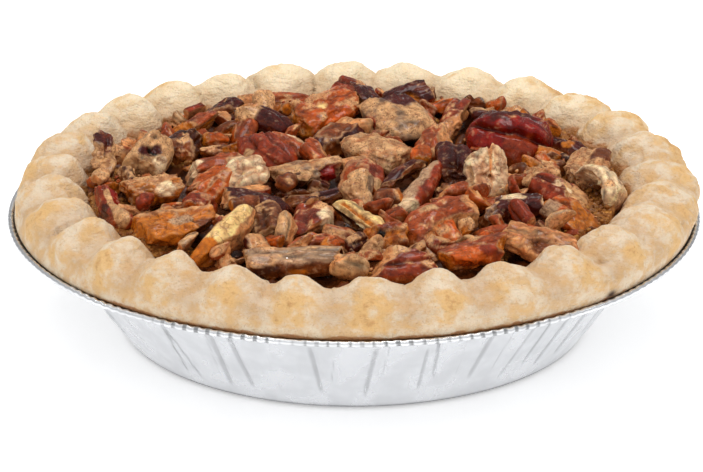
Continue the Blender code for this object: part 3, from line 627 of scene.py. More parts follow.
upperNuts = {
    "cream_flower": ("kernel", 10, 10, 0, "cream", "cream", 0.0, (0.1, -0.5, 0.9, 13, "butter", 0.7)),
    "caramel_block": ("chunk", 14, 4, 168, "caramel", "amber", 0.0, (0, -1, -0.3, 56, "amber", 0.3),
                      (-0.9, -0.4, -0.2, 36, "amber", 0), (0.85, -0.3, 0.2, 24, "brown", 0.6),
                      (0.1, 0, 1, 50, "greyTan", 0.2)),
    "left_clump": ("chunk", 10, 6, 170, "amber", "amber", 0.45, (0.4, -0.7, 0.4, 20, "cream", 0),
                   (-0.5, -0.2, 0.8, 22, "tan", 0)),
    "tall_slotted": ("chunk", 62, 18, 200, "tan", "tan", 0.5, (0.5, -0.8, 0.0, 24, "cream", 0),
                     # the near-black mark is painted shade in the slot
                     (0.0, -0.76, 0.62, 24, "purple", 0.5), (0.26, -0.74, 0.68, 24, "black", 1.0),
                     (0.54, -0.66, 0.80, 22, "purple", 0.8)),
    "red_ledge": ("end", 12, 8, 20, "rust", "cream", 0.05, (-1, -0.1, 0.3, 26, "cream", 0)),
    "two_tone_rear": ("end", 160, 12, 30, "purple", "purple", 0.1, (-0.6, -0.3, 0.8, 42, "tan", 0),
                      (-0.9, -0.5, -0.1, 30, "caramel", 0)),
    "tall_rear": ("end", 20, 14, 200, "purple", "caramel", 0.05, (0.05, -1, 0.35, 42, "amber", 2.8),
                  (-0.5, -0.8, 0.1, 22, "tan", 0)),
    "tan_oval": ("end", 118, 12, 172, "greyTan", "tan", 0.55, (0, 0.8, 0.6, 42, "purple", 0),
                 (-0.9, -0.3, -0.3, 36, "red", 0), (0.1, -0.8, -0.7, 40, "dark", 0),
                 (0.9, 0, -0.2, 26, "rust", 0)),
    "big_half": ("half", 160, 8, -12, "deepRed", "red", 0.0, (-0.1, 0.9, 0.7, 62, "purple", 0),
                 (1, -0.6, -0.3, 14, "tan", 0), (0.2, -0.9, 0.1, 30, "red", 0)),
    "tan_bubbly": ("chunk", 140, 6, 175, "greyTan", "tan", 0.8, (-0.9, -0.5, -0.2, 24, "amber", 0.6)),
    "grey_notched": ("end", 10, 6, 176, "greyTan", "tan", 0.5, (0.9, -0.5, 0.15, 22, "deepRed", 2.6),
                     (-0.3, -1, -0.6, 40, "brown", 0)),
    "long_diagonal": ("stick", 66, 14, 150, "red", "rust", 0.0, (-0.2, 0.2, 1, 46, "greyTan", 0, -0.7, 1.2),
                      (0, 0, 1, 180, "cream", 0, -1.3, -0.72)),
    "round_tan": ("kernel", 0, 0, 0, "tan", "tan", 0.7),
    "cream_curl": ("stick", 118, 8, 150, "cream", "cream", 0.15),
    "cream_over_purple": ("chunk", 10, 6, 165, "purple", "cream", 0.05, (-0.3, 0.1, 1, 44, "cream", 0),
                          (0.1, -1, -0.2, 50, "purple", 0.3)),
    "red_block": ("end", 84, 12, 160, "red", "caramel", 0.15, (0.8, -0.4, 0.3, 36, "cream", 0)),
    "cream_stick": ("stick", 128, 12, 140, "butter", "cream", 0.0,
                    (-0.1, -0.5, 0.8, 12, "amber", 1.2, -0.7, 0.8),
                    # the dark band along the underside is painted shade
                    (0, -1, -0.5, 40, "dark", 0.5, -0.5, 1.0)),
    "bent_red": ("end", 40, 8, 20, "rust", "caramel", 0.05, (-0.7, 0, 0.8, 24, "tan", 0)),
    "front_cream": ("stick", 58, 16, 130, "caramel", "caramel", 0.0,
                    (-0.8, 0.1, 0.7, 40, "purple", 0, -0.5, 1.2),
                    (0.25, -0.3, 0.9, 34, "butter", 0.3, -0.7, 0.9),
                    (0, 0, 1, 180, "amber", 0.2, -1.3, -0.62)),
    "front_slab": ("half", 2, 3, 176, "greyTan", "tan", 0.1, (0, -1, -0.35, 44, "brown", 0.4, -1.3, 1.3),
                   (0.3, -1, -0.2, 26, "amber", 0.5), (-0.7, -0.9, -0.2, 26, "dark", 0.5)),
}


def unitBlank(cuts):                   # a ball of even squares: a cut cube, rounded
    bpy.ops.object.select_all(action="DESELECT")
    bpy.ops.mesh.primitive_cube_add(size=2)
    blank = bpy.context.object
    bpy.ops.object.mode_set(mode="EDIT")
    bpy.ops.mesh.select_all(action="SELECT")
    bpy.ops.mesh.subdivide(number_cuts=cuts)
    bpy.ops.object.mode_set(mode="OBJECT")
    points = getPoints(blank) * mm
    points = np.tan(points * math.pi / 4)
    points /= np.linalg.norm(points, axis=1)[:, None]
    faces = [tuple(p.vertices) for p in blank.data.polygons]
    bpy.data.objects.remove(blank)
    return points, faces


def unitVector(x, y, z):
    vector = np.array([x, y, z], float)
    return vector / np.linalg.norm(vector)


def wholeHalf(ball, length, width, depth, seed, deep):
    # a pecan half: two grooves and fine ridges along its skin side, one cleft below
    along, across, up = ball.T
    reach = np.maximum(np.hypot(across, up), 1e-6)
    full = (1 - np.abs(along) ** 3.2) ** 0.5 * (1 - 0.14 * along)
    side = across / reach
    wander = side + 0.10 * lumpNoise(ball * 3, 1.0, seed)
    top = smoothStep(-0.15, 0.25, up / reach)
    groove = deep * np.exp(-((np.abs(wander) - 0.48) / 0.13) ** 2) * top
    cleft = 2 * deep * np.exp(-(wander / 0.22) ** 2) * (1 - top)
    ridge = 0.055 * lumpNoise(np.column_stack([along * 2.2, wander * 7, up * 0]), 1.0, seed + 3)
    ridge += 0.05 * lumpNoise(np.column_stack([along * 7, wander * 4, up * 2]), 1.0, seed + 4)
    grow = 1 + ridge - groove
    low = np.where(up > 0, 1, 0.62 * (1 - cleft))
    points = np.column_stack([along * length / 2, across / reach * full * grow * width / 2,
                              up / reach * full * grow * low * depth * 0.62])
    # dark: painted shade in the two grooves, the cleft below and the hollows between ridges
    dark = np.clip(groove / 0.30 + cleft / 0.6 + np.maximum(-ridge / 0.07, 0) * 0.6, 0, 1)
    return points, dark


def petalDisc(ball, length, width, depth, seed):
    # a pale kernel that curled open: a frilled disc with a dimple
    along, across, up = ball.T
    turn = np.arctan2(across, along) + seed
    petals = np.abs(np.sin(2.5 * turn + 0.5 * lumpNoise(ball * 2, 1.0, seed))) ** 0.6
    flat = np.hypot(along, across)
    full = 1 - 0.22 * (1 - petals) * flat
    dimple = 0.35 * np.exp(-(flat / 0.35) ** 2) * (up > 0)
    points = np.column_stack([along * full * length / 2, across * full * width / 2,
                              up * (0.75 + 0.25 * petals) * (1 - dimple) * depth / 2])
    # the second value is painted shade between the petals and in the dimple
    return points, np.clip(0.7 * (1 - petals) ** 2 * flat + dimple, 0, 1)


def breakPlanes(kind, length, width, depth, rng, chips):
    tilt, lean = rng.uniform(-0.35, 0.35), rng.uniform(-0.35, 0.35)
    planes = []
    if kind in ("end", "chunk", "kernel"):
        planes.append(((length * (0.24 if kind == "end" else 0.31), 0, 0), (1, tilt, lean)))
    if kind in ("chunk", "kernel"):
        planes.append(((-length * 0.31, 0, 0), (-1, lean, -tilt)))
    if kind == "stick":
        planes.append(((0, width * 0.03, 0), (tilt * 0.3, -1, lean * 0.5)))
    if kind == "sliver":
        planes.append(((0, 0, depth * 0.16), (0, tilt * 0.4, -1)))
    if kind == "kernel":
        planes.append(((0, 0, -depth * 0.12), (tilt, lean, -1)))
        planes.append(((0, 0, depth * 0.42), (lean, 0.3, 1)))
    for i in range(chips):             # corners chipped off
        turn, rise = rng.uniform(0, math.tau), rng.uniform(-0.3, 0.9) if i else rng.uniform(1.2, 2.5)
        normal = unitVector(math.cos(turn), math.sin(turn), rise)
        reach = np.linalg.norm(normal * (length * 0.34, width * 0.48, depth * 0.5)) * rng.uniform(0.66, 1.0)
        planes.append((tuple(normal * reach), tuple(normal)))
    middle = {"stick": (0, width * 0.22, depth * 0.1), "sliver": (0, 0, depth * 0.36)}
    return planes, np.array(middle.get(kind, (0, 0, depth * 0.08)))


def brokenNut(ball, kind, length, width, depth, seed, chips):
    # snaps the half: points past a break are drawn back onto it, and the break is left rough
    rng = random.Random(seed)
    share = {"end": 0.74, "chunk": 0.62, "kernel": 0.62}.get(kind, 1.0)
    deep = 0.28 if kind == "half" else rng.uniform(0.05, 0.2)
    if kind == "flower":
        points, dark = petalDisc(ball, length, width, depth, seed)
        return points, dark, np.zeros(len(points))
    points, dark = wholeHalf(ball, length / share, width, depth, seed, deep)
    planes, middle = breakPlanes(kind, length / share, width, depth, rng, chips)
    broken = np.zeros(len(points))
    points = points - middle
    rough = nuts["jag"] * min(1.0, length / 14)
    for spot, normal in planes:
        normal = unitVector(*normal)
        jag = lumpNoise(points, 3.4, seed + 5) + 0.5 * lumpNoise(points, 1.5, seed + 6)
        limit = np.maximum(np.dot(np.array(spot) - middle, normal) + rough * jag, 0.5)
        reach = points @ normal
        past = reach > limit
        points = np.where(past[:, None], points * (limit / np.maximum(reach, 1e-6))[:, None], points)
        broken = np.maximum(broken, smoothStep(-0.2, 0.6, reach - limit))
    return points, dark, broken


def bendNut(points, degrees):          # curls a piece sideways about its own middle
    length = np.ptp(points[:, 0])
    radius = length / math.radians(abs(degrees))
    side = math.copysign(1, degrees)
    angle = points[:, 0] / radius
    arm = radius - side * points[:, 1]
    return np.column_stack([arm * np.sin(angle), side * (radius - arm * np.cos(angle)), points[:, 2]])


def localTurn(heading, pitch, roll):
    return np.array(Matrix.Rotation(math.radians(heading), 3, "Z")
                    @ Matrix.Rotation(math.radians(-pitch), 3, "Y")
                    @ Matrix.Rotation(math.radians(roll), 3, "X"))


def colourNut(points, normals, dark, broken, row, seed, straight):
    # skin where the nut is whole, flesh where it broke, foam where syrup boiled over it
    kind, heading, pitch, roll, skin, flesh, foam = row[:7]
    patch = roughNoise(points, 5.0, seed + 20, 3)
    fine = roughNoise(points, 1.4, seed + 24, 2)
    drip = roughNoise(points, 4.0, seed + 28, 3)
    streak = roughNoise(straight / np.array([3.2, 1.0, 1.0]), 1.3, seed + 32, 2)
    skinColour, skinWet = coats[skin]
    fleshColour, fleshWet = coats[flesh]
    edge = np.clip(4 * broken * (1 - broken), 0, 1)[:, None]
    stainShare = 0.2 if skin in paleCoats else 1.0
    tone = linear(skinColour) * (1 + 0.25 * patch + 0.18 * fine + 0.45 * streak)[:, None]
    # painted shade: darker in the grooves, the cleft and the dimple
    tone = tone * (1 - 0.70 * dark)[:, None]
    paler = smoothStep(0.1, 0.7, patch + 0.6 * streak)[:, None] * 0.35 * stainShare
    tone = tone * (1 - paler) + linear(coats["rust"][0]) * paler
    film = smoothStep(0.2, 0.7, drip - 0.5 * normals[:, 2])[:, None] * 0.6 * stainShare
    tone = tone * (1 - film) + linear(coats["orange"][0]) * 0.8 * film
    inside = linear(fleshColour) * (1 + 0.22 * fine + 0.20 * patch + 0.2 * streak)[:, None]
    stain = smoothStep(0.0, 0.5, drip - 0.3 * fine)[:, None] * (0.25 if flesh in paleCoats else 0.6)
    inside = inside * (1 - stain) + linear(coats["orange"][0]) * 0.7 * stain
    tone = tone * (1 - broken[:, None]) + inside * broken[:, None]
    tone = tone * (1 - 0.7 * edge) + linear(coats["tan"][0]) * 0.7 * edge
    wet = skinWet * (1 - broken) + np.maximum(fleshWet, 0.8 * stain[:, 0]) * broken
    facing = smoothStep(-0.1, 0.7, normals[:, 2])
    cover = smoothStep(0.95 - foam, 1.10 - foam, 0.4 + 0.55 * patch + 0.26 * fine + 0.28 * facing)
    foamTone = linear(coats["tan"][0]) * (1 + 0.25 * fine + 0.25 * patch)[:, None]
    tone = tone * (1 - 0.92 * cover[:, None]) + foamTone * 0.92 * cover[:, None]
    wet = wet * (1 - cover) + 0.25 * cover
    return np.clip(tone, 0, 1), wet, cover


def glazeLow(tone, wet, cover, points, seed):
    # the foot of each piece stands in syrup and is glazed by it
    drip = roughNoise(points, 5.0, seed + 50, 2)
    low = 0.7 * smoothStep(51.0, 46.0, points[:, 2] + 2.0 * drip)
    glaze = linear(nuts["glaze"]) * (1 + 0.5 * roughNoise(points, 1.6, seed + 51, 2))[:, None]
    tone = tone * (1 - low[:, None]) + glaze * low[:, None]
    return np.clip(tone, 0, 1), wet * (1 - low) + 0.95 * low, np.maximum(cover, 0.5 * low)


def shapeNut(label, row, ball, faces, number):
    kind, heading, pitch, roll = row[:4]
    node = "pecan_" + kind + "_" + label
    seed = nuts["seed"] + number * 7
    turn = localTurn(heading, pitch, roll)
    source = getPoints(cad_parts[node])
    middle = (source.min(0) + source.max(0)) / 2
    local = (source - middle) @ turn             # the CAD nut laid straight
    low, high = local.min(0), local.max(0)
    size = high - low
    chips = nuts["chipped"].get(label, nuts["chips"][kind])
    grow = nuts["scaled"].get(label, nuts["grow"])
    shape = nuts["brokenAs"].get(label, kind)
    points, dark, broken = brokenNut(ball, shape, size[0], size[1], size[2], seed, chips)
    if label in nuts["bent"]:
        points = bendNut(points, nuts["bent"][label])
    ownLow, ownHigh = points.min(0), points.max(0)
    points = ((points - ownLow) / (ownHigh - ownLow) - 0.5) * size * np.array(grow) + (low + high) / 2
    lumps = nuts["lump"] * lumpNoise(points, 5.0, seed + 1)
    lumps += nuts["smallLump"] * lumpNoise(points, 2.2, seed + 2)
    ruffle = nuts["ruffled"].get(label, 0.0)
    if ruffle:
        lumps -= ruffle * (1 - np.abs(lumpNoise(points, 3.2, seed + 3))) ** 4
        lumps += 0.4 * ruffle * lumpNoise(points, 1.5, seed + 4)
    outward = points / np.maximum(np.linalg.norm(points, axis=1), 1e-6)[:, None]
    points = points + outward * lumps[:, None]
    middle = middle + nuts["moved"].get(label, (0, 0, 0))
    leanX, leanY = nuts["leaned"].get(label, (0, 0))
    turn = np.array(Matrix.Rotation(math.radians(leanX), 3, "X")
                    @ Matrix.Rotation(math.radians(leanY), 3, "Y")) @ turn
    placed = points @ turn.T
    rise = (placed[:, 2] - placed[:, 2].min()) / np.ptp(placed[:, 2])
    placed[:, :2] *= (1 - nuts["tapered"].get(label, 0) * (rise - 0.3))[:, None]
    obj = meshObject(label.replace("_", " ").title().replace(" ", ""), placed + middle, faces)
    placed, normals = getPoints(obj), getNormals(obj)
    tone, wet, cover = colourNut(placed - middle, normals, dark, broken, row, seed, points)
    if ruffle:
        # painted shade in the creases of a ruffled piece
        crease = np.clip(1 - np.abs(lumpNoise(points, 3.2, seed + 3)) * 3, 0, 1)[:, None]
        tone = tone * (1 - 0.5 * crease * [0.4, 0.8, 1.0])
    for mark in row[7:]:
        x, y, z, spread, coat, dent = mark[:6]
        bearing = (placed - middle) / np.maximum(np.linalg.norm(placed - middle, axis=1), 1e-6)[:, None]
        off = np.degrees(np.arccos(np.clip(bearing @ unitVector(x, y, z), -1, 1)))
        if len(mark) == 8:
            toward, share = unitVector(x, y, z) @ turn, 2 * points[:, 0] / np.ptp(points[:, 0])
            around = points[:, 1:] / np.maximum(np.linalg.norm(points[:, 1:], axis=1), 1e-6)[:, None]
            off = np.degrees(np.arccos(np.clip(around @ unitVector(0, *toward[1:])[1:], -1, 1)))
            ends = smoothStep(mark[6] - 0.12, mark[6], share)
            ends = ends * (1 - smoothStep(mark[7], mark[7] + 0.12, share))
            off = off + 200 * (1 - ends)
        off = off + 0.35 * spread * roughNoise(placed, 3.0, seed + 30, 2)
        share = 1 - smoothStep(0.8 * spread, 1.05 * spread, off)
        colour, wetness = coats[coat]
        patch = (1 + 0.3 * roughNoise(placed, 2.0, seed + 31, 2))[:, None]
        tone = tone * (1 - share[:, None]) + np.clip(linear(colour) * patch, 0, 1) * share[:, None]
        wet = wet * (1 - share) + wetness * share
        cover = cover * (1 - share)
        if coat in ("tan", "greyTan"):
            cover = np.maximum(cover, 0.8 * share * smoothStep(-0.4, 0.1, patch[:, 0] - 1))
        placed = placed - bearing * (dent * share)[:, None]
    tone, wet, cover = glazeLow(tone, wet, cover, placed, seed)
    pits = -0.25 * cover * smoothStep(0.3, 0.75, lumpNoise(placed, 1.1, seed + 40))
    grain = 0.10 * lumpNoise(placed, 1.0, seed + 41) * (0.4 + broken + cover)
    placed = placed + normals * (pits + grain)[:, None]
    setPoints(obj, placed)
    paint(obj, "coat", tone)
    paint(obj, "wet", wet)
    paint(obj, "foam", cover)
    return obj, node


def nutMaterial():
    material, shader, node = newMaterial("candiedNut", 0.4)
    where = node("TexCoord").outputs["Object"]
    coat = node("Attribute", attribute_name="coat").outputs["Color"]
    wet = node("Attribute", attribute_name="wet").outputs["Fac"]
    foam = node("Attribute", attribute_name="foam").outputs["Fac"]
    fine = noiseOf(node, where, 900.0, 3.0, 0.6)
    rough = noiseOf(node, where, 360.0, 3.0, 0.6)
    wander = noiseOf(node, where, 190.0, 4.0, 0.55)
    wrinkle = mathOf(node, "ABSOLUTE", mathOf(node, "SUBTRACT", wander, 0.5), 0.0)
    lines = rangeOf(node, wrinkle, 0.0, 0.028, 1.0, 0.0)
    cells = node("TexVoronoi", Vector=where, Scale=1150.0).outputs["Distance"]
    holes = mathOf(node, "MULTIPLY", rangeOf(node, cells, 0.10, 0.34, 1.0, 0.0), foam)
    tone = mixOf(node, rangeOf(node, fine, 0.4, 0.75, 0.0, 0.25), coat, (0.30, 0.10, 0.04), "MULTIPLY")
    tone = mixOf(node, rangeOf(node, rough, 0.36, 0.56, 0.40, 0.0), tone, (0.42, 0.20, 0.09), "MULTIPLY")
    tone = mixOf(node, mathOf(node, "MULTIPLY", lines, 0.4), tone, (0.25, 0.08, 0.03), "MULTIPLY")
    tone = mixOf(node, rangeOf(node, rough, 0.56, 0.74, 0.0, 0.35), tone, (0.90, 0.62, 0.36))
    tone = mixOf(node, mathOf(node, "MULTIPLY", holes, 0.75), tone, (0.12, 0.035, 0.012))
    tone = mixOf(node, 0.45, tone, tone, "MULTIPLY")
    node.link(tone, shader.inputs["Base Color"])
    dull = rangeOf(node, wet, 0.0, 1.0, 0.72, 0.24)
    dull = mathOf(node, "MULTIPLY", dull, rangeOf(node, fine, 0.3, 0.7, 0.8, 1.2))
    node.link(dull, shader.inputs["Roughness"])
    shader.inputs["Specular IOR Level"].default_value = 0.05
    shader.inputs["Coat Weight"].default_value = 0.28
    shader.inputs["Coat Roughness"].default_value = 0.10
    shader.inputs["Subsurface Weight"].default_value = 0.08
    shader.inputs["Subsurface Radius"].default_value = (1.0, 0.35, 0.12)
    shader.inputs["Subsurface Scale"].default_value = 0.002
    height = mathOf(node, "SUBTRACT", mathOf(node, "ADD", fine, rough), holes)
    height = mathOf(node, "SUBTRACT", height, mathOf(node, "MULTIPLY", lines, 0.4))
    bump = node("Bump", Height=height, Strength=0.45, Distance=0.0006)
    node.link(bump.outputs[0], shader.inputs["Normal"])
    return material


def buildNuts(material):
    ball, faces = unitBlank(nuts["cuts"])
    made = []
    for number, (label, row) in enumerate({**lowerNuts, **upperNuts}.items()):
        obj, node = shapeNut(label, row, ball, faces, number)
        finishPiece(obj, material, "pecan", node)
        made.append(obj)
    print("nuts done", len(made), "pieces,", len(made) * len(faces) * 2, "triangles")
    return made


# ---- the syrup the heap lies in ----
syrup = {"grid": 290, "level": 44.4, "edge": 45.6, "radius": 88.9, "climb": 2.6, "reach": 1.6,
         "dark": (0.18, 0.08, 0.035), "brown": (0.46, 0.23, 0.09), "gold": (0.76, 0.52, 0.25),
         "bubbles": 1700, "bubbleSizes": (0.35, 1.15), "bubbleSeed": 12,
         # x, y, radius of the places where the boiled syrup shows golden
         "goldPlaces": [(84, -20, 20), (80, 8, 16), (-86, -18, 11), (-78, 4, 12), (72, -42, 14),
                        (-10, 62, 12), (-60, 26, 10), (40, -62, 12), (-60, -62, 13), (4, -76, 14),
                        (66, 44, 12), (88, 20, 10), (-70, -46, 12), (24, 62, 9)]}


# ---- chopped bits in the gaps of the heap, and crumbs over it ----
# cuts of each ball, how many, sizes in mm, how far out, how high the heap may already stand,
# how deep a bit sinks as a share of its size
bits = {
    "choppedBitsBack": {"cuts": 10, "count": 115, "sizes": (6.0, 14.0), "from": 0, "to": 180,
                        "heap": 50.0, "sink": 0.06, "seed": 77},
    "choppedBitsFront": {"cuts": 10, "count": 115, "sizes": (6.0, 14.0), "from": 180, "to": 360,
                         "heap": 50.0, "sink": 0.06, "seed": 78},
    "nutCrumbs": {"cuts": 2, "count": 160, "sizes": (0.9, 2.2), "from": 0, "to": 360,
                  "heap": 51.0, "sink": 0.15, "seed": 79}}
bitReach = 88.5
bitCoats = [("rust", "caramel"), ("red", "caramel"), ("brown", "amber"), ("orange", "amber"),
            ("red", "rust"), ("purple", "caramel"), ("rust", "rust"), ("tan", "caramel"),
            ("dark", "brown"), ("rust", "orange"), ("purple", "brown"), ("caramel", "tan")]
openPlaces = [(-56, 1, 8), (-73, 47, 10), (-80, 12, 8), (-16, 64, 5), (22, -30, 5), (-44, -36, 5),
              (84, -20, 15), (85, 0, 10)]


def heapMap(objects, cell=1.5):        # how high the heap stands, square by square
    size = int(200 / cell)
    top = np.full((size, size), -1.0)
    for obj in objects:
        points = getPoints(obj)
        column = np.clip(((points[:, 0] + 100) / cell).astype(int), 0, size - 1)
        line = np.clip(((points[:, 1] + 100) / cell).astype(int), 0, size - 1)
        np.maximum.at(top, (line, column), points[:, 2])
    return top, cell


def buildBits(name, plan, material, top, cell):
    ball, faces = unitBlank(plan["cuts"])
    rng = random.Random(plan["seed"])
    small, large = plan["sizes"]
    parts, tones, wets, foams, allFaces = [], [], [], [], []
    start = 0
    for trial in range(9000):
        if len(parts) == plan["count"]:
            break
        size = small + (large - small) * rng.random() ** 1.4
        away = (bitReach - size * 0.35) * math.sqrt(rng.random())
        turn = math.radians(rng.uniform(plan["from"], plan["to"]))
        x, y = away * math.cos(turn), away * math.sin(turn)
        half = max(size * 0.30, 0.8)
        if any(math.hypot(x - p, y - q) < wide for p, q, wide in openPlaces):
            continue
        lines = slice(int((y + 100 - half) / cell), int((y + 100 + half) / cell) + 1)
        columns = slice(int((x + 100 - half) / cell), int((x + 100 + half) / cell) + 1)
        under = top[lines, columns]
        rest = max(float(np.median(under)), syrup["level"] + 0.8)
        if rest > plan["heap"] or (under > plan["heap"]).mean() > 0.3:
            continue
        kind = rng.choice(["chunk", "stick", "kernel", "end", "sliver"])
        row = (kind, 0, 0, 0, *rng.choice(bitCoats), rng.choice([0.0, 0.1, 0.35]))
        seed = plan["seed"] * 1000 + trial * 13
        wide, deep = size * rng.uniform(0.55, 0.8), size * rng.uniform(0.5, 0.7)
        points, dark, broken = brokenNut(ball, kind, size, wide, deep, seed, rng.randint(1, 3))
        middle = (points.min(0) + points.max(0)) / 2
        spin = localTurn(rng.uniform(0, 360), rng.uniform(-30, 30), rng.uniform(0, 360))
        points = (points - middle) @ spin.T
        outward = points / np.maximum(np.linalg.norm(points, axis=1), 1e-6)[:, None]
        points += outward * (0.06 * size * lumpNoise(points, 0.3 * size, seed))[:, None]
        points += np.array([x, y, rest - points[:, 2].min() - plan["sink"] * size])
        probe = meshObject("probe", points, faces)
        normals = getNormals(probe)
        bpy.data.objects.remove(probe)
        straight = (points - points.mean(0)) @ spin
        tone, wet, cover = colourNut(points, normals, dark, broken, row, seed, straight)
        tone, wet, cover = glazeLow(tone, wet, cover, points, seed)
        parts.append(points)
        tones.append(tone)
        wets.append(wet)
        foams.append(cover)
        allFaces += [tuple(i + start for i in face) for face in faces]
        start += len(points)
        top[lines, columns] = np.maximum(under, points[:, 2].max() - 0.2 * size)
    obj = meshObject(name, np.vstack(parts), allFaces)
    paint(obj, "coat", np.vstack(tones))
    paint(obj, "wet", np.concatenate(wets))
    paint(obj, "foam", np.concatenate(foams))
    finishPiece(obj, material, "pecan")
    print(name, "done", len(parts))
    return obj


# ---- the syrup filling ----
def buildSyrup(material, heap):
    bpy.ops.object.select_all(action="DESELECT")
    bpy.ops.mesh.primitive_grid_add(x_subdivisions=syrup["grid"], y_subdivisions=syrup["grid"],
                                    size=2 * syrup["radius"] * mm + 0.001)
    obj = bpy.context.object
    obj.name = obj.data.name = "syrup"
    points = getPoints(obj)
    away = np.hypot(points[:, 0], points[:, 1])
    step = 2 * syrup["radius"] / syrup["grid"]
    keep = away < syrup["radius"] + step * 0.2
    bpy.ops.object.mode_set(mode="EDIT")
    bpy.ops.mesh.select_all(action="DESELECT")
    bpy.ops.object.mode_set(mode="OBJECT")
    obj.data.vertices.foreach_set("select", (~keep).tolist())
    bpy.ops.object.mode_set(mode="EDIT")
    bpy.ops.mesh.select_mode(type="VERT")
    bpy.ops.mesh.delete(type="VERT")
    bpy.ops.mesh.select_all(action="SELECT")
    bpy.ops.mesh.select_mode(type="EDGE")
    bpy.ops.mesh.select_all(action="DESELECT")
    bpy.ops.mesh.select_non_manifold()
    rings = [(syrup["radius"], 40.0), (84.0, 33.0), (80.2, 20.0), (75.0, 7.6), (69.5, 5.1)]
    for _ in rings:
        bpy.ops.mesh.extrude_region_move(TRANSFORM_OT_translate={"value": (0, 0, -0.004)})
    bpy.ops.mesh.edge_face_add()
    bpy.ops.object.mode_set(mode="OBJECT")
    points = getPoints(obj)
    away = np.maximum(np.hypot(points[:, 0], points[:, 1]), 1e-6)
    for i, (radius, height) in enumerate(rings):
        inRing = np.abs(points[:, 2] + 4.0 * (i + 1)) < 0.5
        points[inRing, :2] *= (radius / away[inRing])[:, None]
        points[inRing, 2] = height
    surface = points[:, 2] > -0.5
    surface &= np.abs(points[:, 2]) < 0.5
    top = points[surface]
    away = np.hypot(top[:, 0], top[:, 1])
    outer = away > syrup["radius"] - step
    top[outer, :2] *= (syrup["radius"] / away[outer])[:, None]
    away = np.hypot(top[:, 0], top[:, 1])
    flat = np.column_stack([top[:, 0], top[:, 1], top[:, 0] * 0])
    base = syrup["level"] + (syrup["edge"] - syrup["level"]) * smoothStep(72, 88, away)
    base += 0.7 * lumpNoise(flat, 12.0, 5) + 0.35 * lumpNoise(flat, 4.5, 6)
    tree = KDTree(sum(len(part) for part in heap))
    count = 0
    for part in heap:
        for point in part:
            tree.insert(point, count)
            count += 1
    tree.balance()
    near = np.array([tree.find((x, y, z))[2] for x, y, z in zip(top[:, 0], top[:, 1], base + 0.8)])
    gold = np.zeros(len(top))
    for x, y, wide in syrup["goldPlaces"]:
        gold = np.maximum(gold, 1 - smoothStep(0.5 * wide, wide, np.hypot(top[:, 0] - x, top[:, 1] - y)
                                               + 4.0 * lumpNoise(flat, 6.0, 9)))
    froth = gold * (0.5 + 0.5 * np.abs(lumpNoise(flat, 2.2, 14)) - 0.3 * lumpNoise(flat, 1.3, 15))
    top[:, 2] = base + syrup["climb"] * np.exp(-near / syrup["reach"]) + 0.9 * gold + 0.7 * froth
    points[surface] = top
    setPoints(obj, points)
    depth = np.zeros(len(points))
    depth[surface] = gold
    thin = np.zeros(len(points))
    thin[surface] = np.exp(-near / 2.5)
    rim = np.zeros(len(points))
    rim[surface] = smoothStep(84, 88, away)
    paint(obj, "gold", depth)
    paint(obj, "thin", np.clip(thin + 0.5 * rim, 0, 1))
    bpy.ops.object.select_all(action="DESELECT")
    obj.select_set(True)
    bpy.context.view_layer.objects.active = obj
    bpy.ops.object.mode_set(mode="EDIT")
    bpy.ops.mesh.select_all(action="SELECT")
    bpy.ops.mesh.normals_make_consistent(inside=False)
    bpy.ops.object.mode_set(mode="OBJECT")
    bpy.ops.object.shade_smooth()
    finishPiece(obj, material, "filling", "filling")
    print("syrup done", len(points))
    buildBubbles(material, top[gold > 0.3], top[near < 1.2])


def buildBubbles(material, froth, edges):
    # bubbles frozen in the boiled syrup, each a small ball half sunk into it
    ball, faces = unitBlank(1)
    rng = random.Random(syrup["bubbleSeed"])
    small, large = syrup["bubbleSizes"]
    parts, allFaces = [], []
    for i in range(syrup["bubbles"]):
        place = rng.choice(froth) if rng.random() < 0.7 else rng.choice(edges)
        size = small + (large - small) * rng.random() ** 2
        parts.append(ball * size * (1, 1, 0.8) + place + np.array([0, 0, 0.25 * size]))
        allFaces += [tuple(k + i * len(ball) for k in face) for face in faces]
    obj = meshObject("syrupBubbles", np.vstack(parts), allFaces)
    paint(obj, "gold", np.full(len(ball) * syrup["bubbles"], 0.8))
    paint(obj, "thin", np.ones(len(ball) * syrup["bubbles"]))
    finishPiece(obj, material, "filling")
    print("bubbles done", syrup["bubbles"])


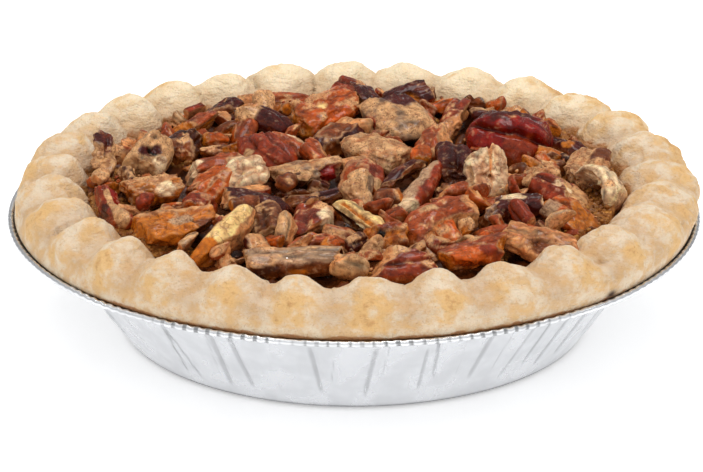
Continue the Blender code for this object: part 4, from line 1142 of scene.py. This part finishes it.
def syrupMaterial():
    material, shader, node = newMaterial("bakedSyrup", 0.22)
    where = node("TexCoord").outputs["Object"]
    gold = node("Attribute", attribute_name="gold").outputs["Fac"]
    thin = node("Attribute", attribute_name="thin").outputs["Fac"]
    cloud = noiseOf(node, where, 240.0, 4.0, 0.6)
    patch = noiseOf(node, where, 110.0, 4.0, 0.65)
    froth = node("TexVoronoi", Vector=where, Scale=620.0).outputs["Distance"]
    small = node("TexVoronoi", Vector=where, Scale=1300.0).outputs["Distance"]
    shade = mixOf(node, mathOf(node, "MULTIPLY", thin, rangeOf(node, cloud, 0.3, 0.6)),
                  tuple(linear(syrup["dark"])), tuple(linear(syrup["brown"])))
    golden = mathOf(node, "ADD", gold, mathOf(node, "MULTIPLY", mathOf(node, "SUBTRACT", patch, 0.55), 3.0))
    golden = rangeOf(node, golden, 0.2, 0.95)
    shade = mixOf(node, golden, shade, tuple(linear(syrup["gold"])))
    rings = rangeOf(node, froth, 0.25, 0.55, 0.0, 0.7)
    shade = mixOf(node, mathOf(node, "MULTIPLY", rings, golden), shade, tuple(linear(syrup["brown"])))
    dots = mathOf(node, "MULTIPLY", rangeOf(node, small, 0.12, 0.30, 1.0, 0.0), golden)
    shade = mixOf(node, mathOf(node, "MULTIPLY", dots, 0.7), shade, tuple(linear(syrup["dark"])))
    node.link(shade, shader.inputs["Base Color"])
    node.link(rangeOf(node, cloud, 0.3, 0.7, 0.16, 0.45), shader.inputs["Roughness"])
    shader.inputs["Specular IOR Level"].default_value = 0.18
    height = mathOf(node, "MULTIPLY", mathOf(node, "SUBTRACT", 1.0, froth), golden)
    height = mathOf(node, "ADD", height, mathOf(node, "MULTIPLY", cloud, 0.5))
    bump = node("Bump", Height=height, Strength=0.9, Distance=0.0010)
    node.link(bump.outputs[0], shader.inputs["Normal"])
    return material


# ---- all together ----
addCamera()
addStudio()
buildTin()
buildCrust()
candied = nutMaterial()
nutObjects = buildNuts(candied)
heapTop, heapCell = heapMap(nutObjects)
bitObjects = [buildBits(name, plan, candied, heapTop, heapCell) for name, plan in bits.items()]
heapPoints = [getPoints(obj)[::7] for obj in nutObjects] + [getPoints(obj)[::3] for obj in bitObjects[:2]]
buildSyrup(syrupMaterial(), heapPoints)
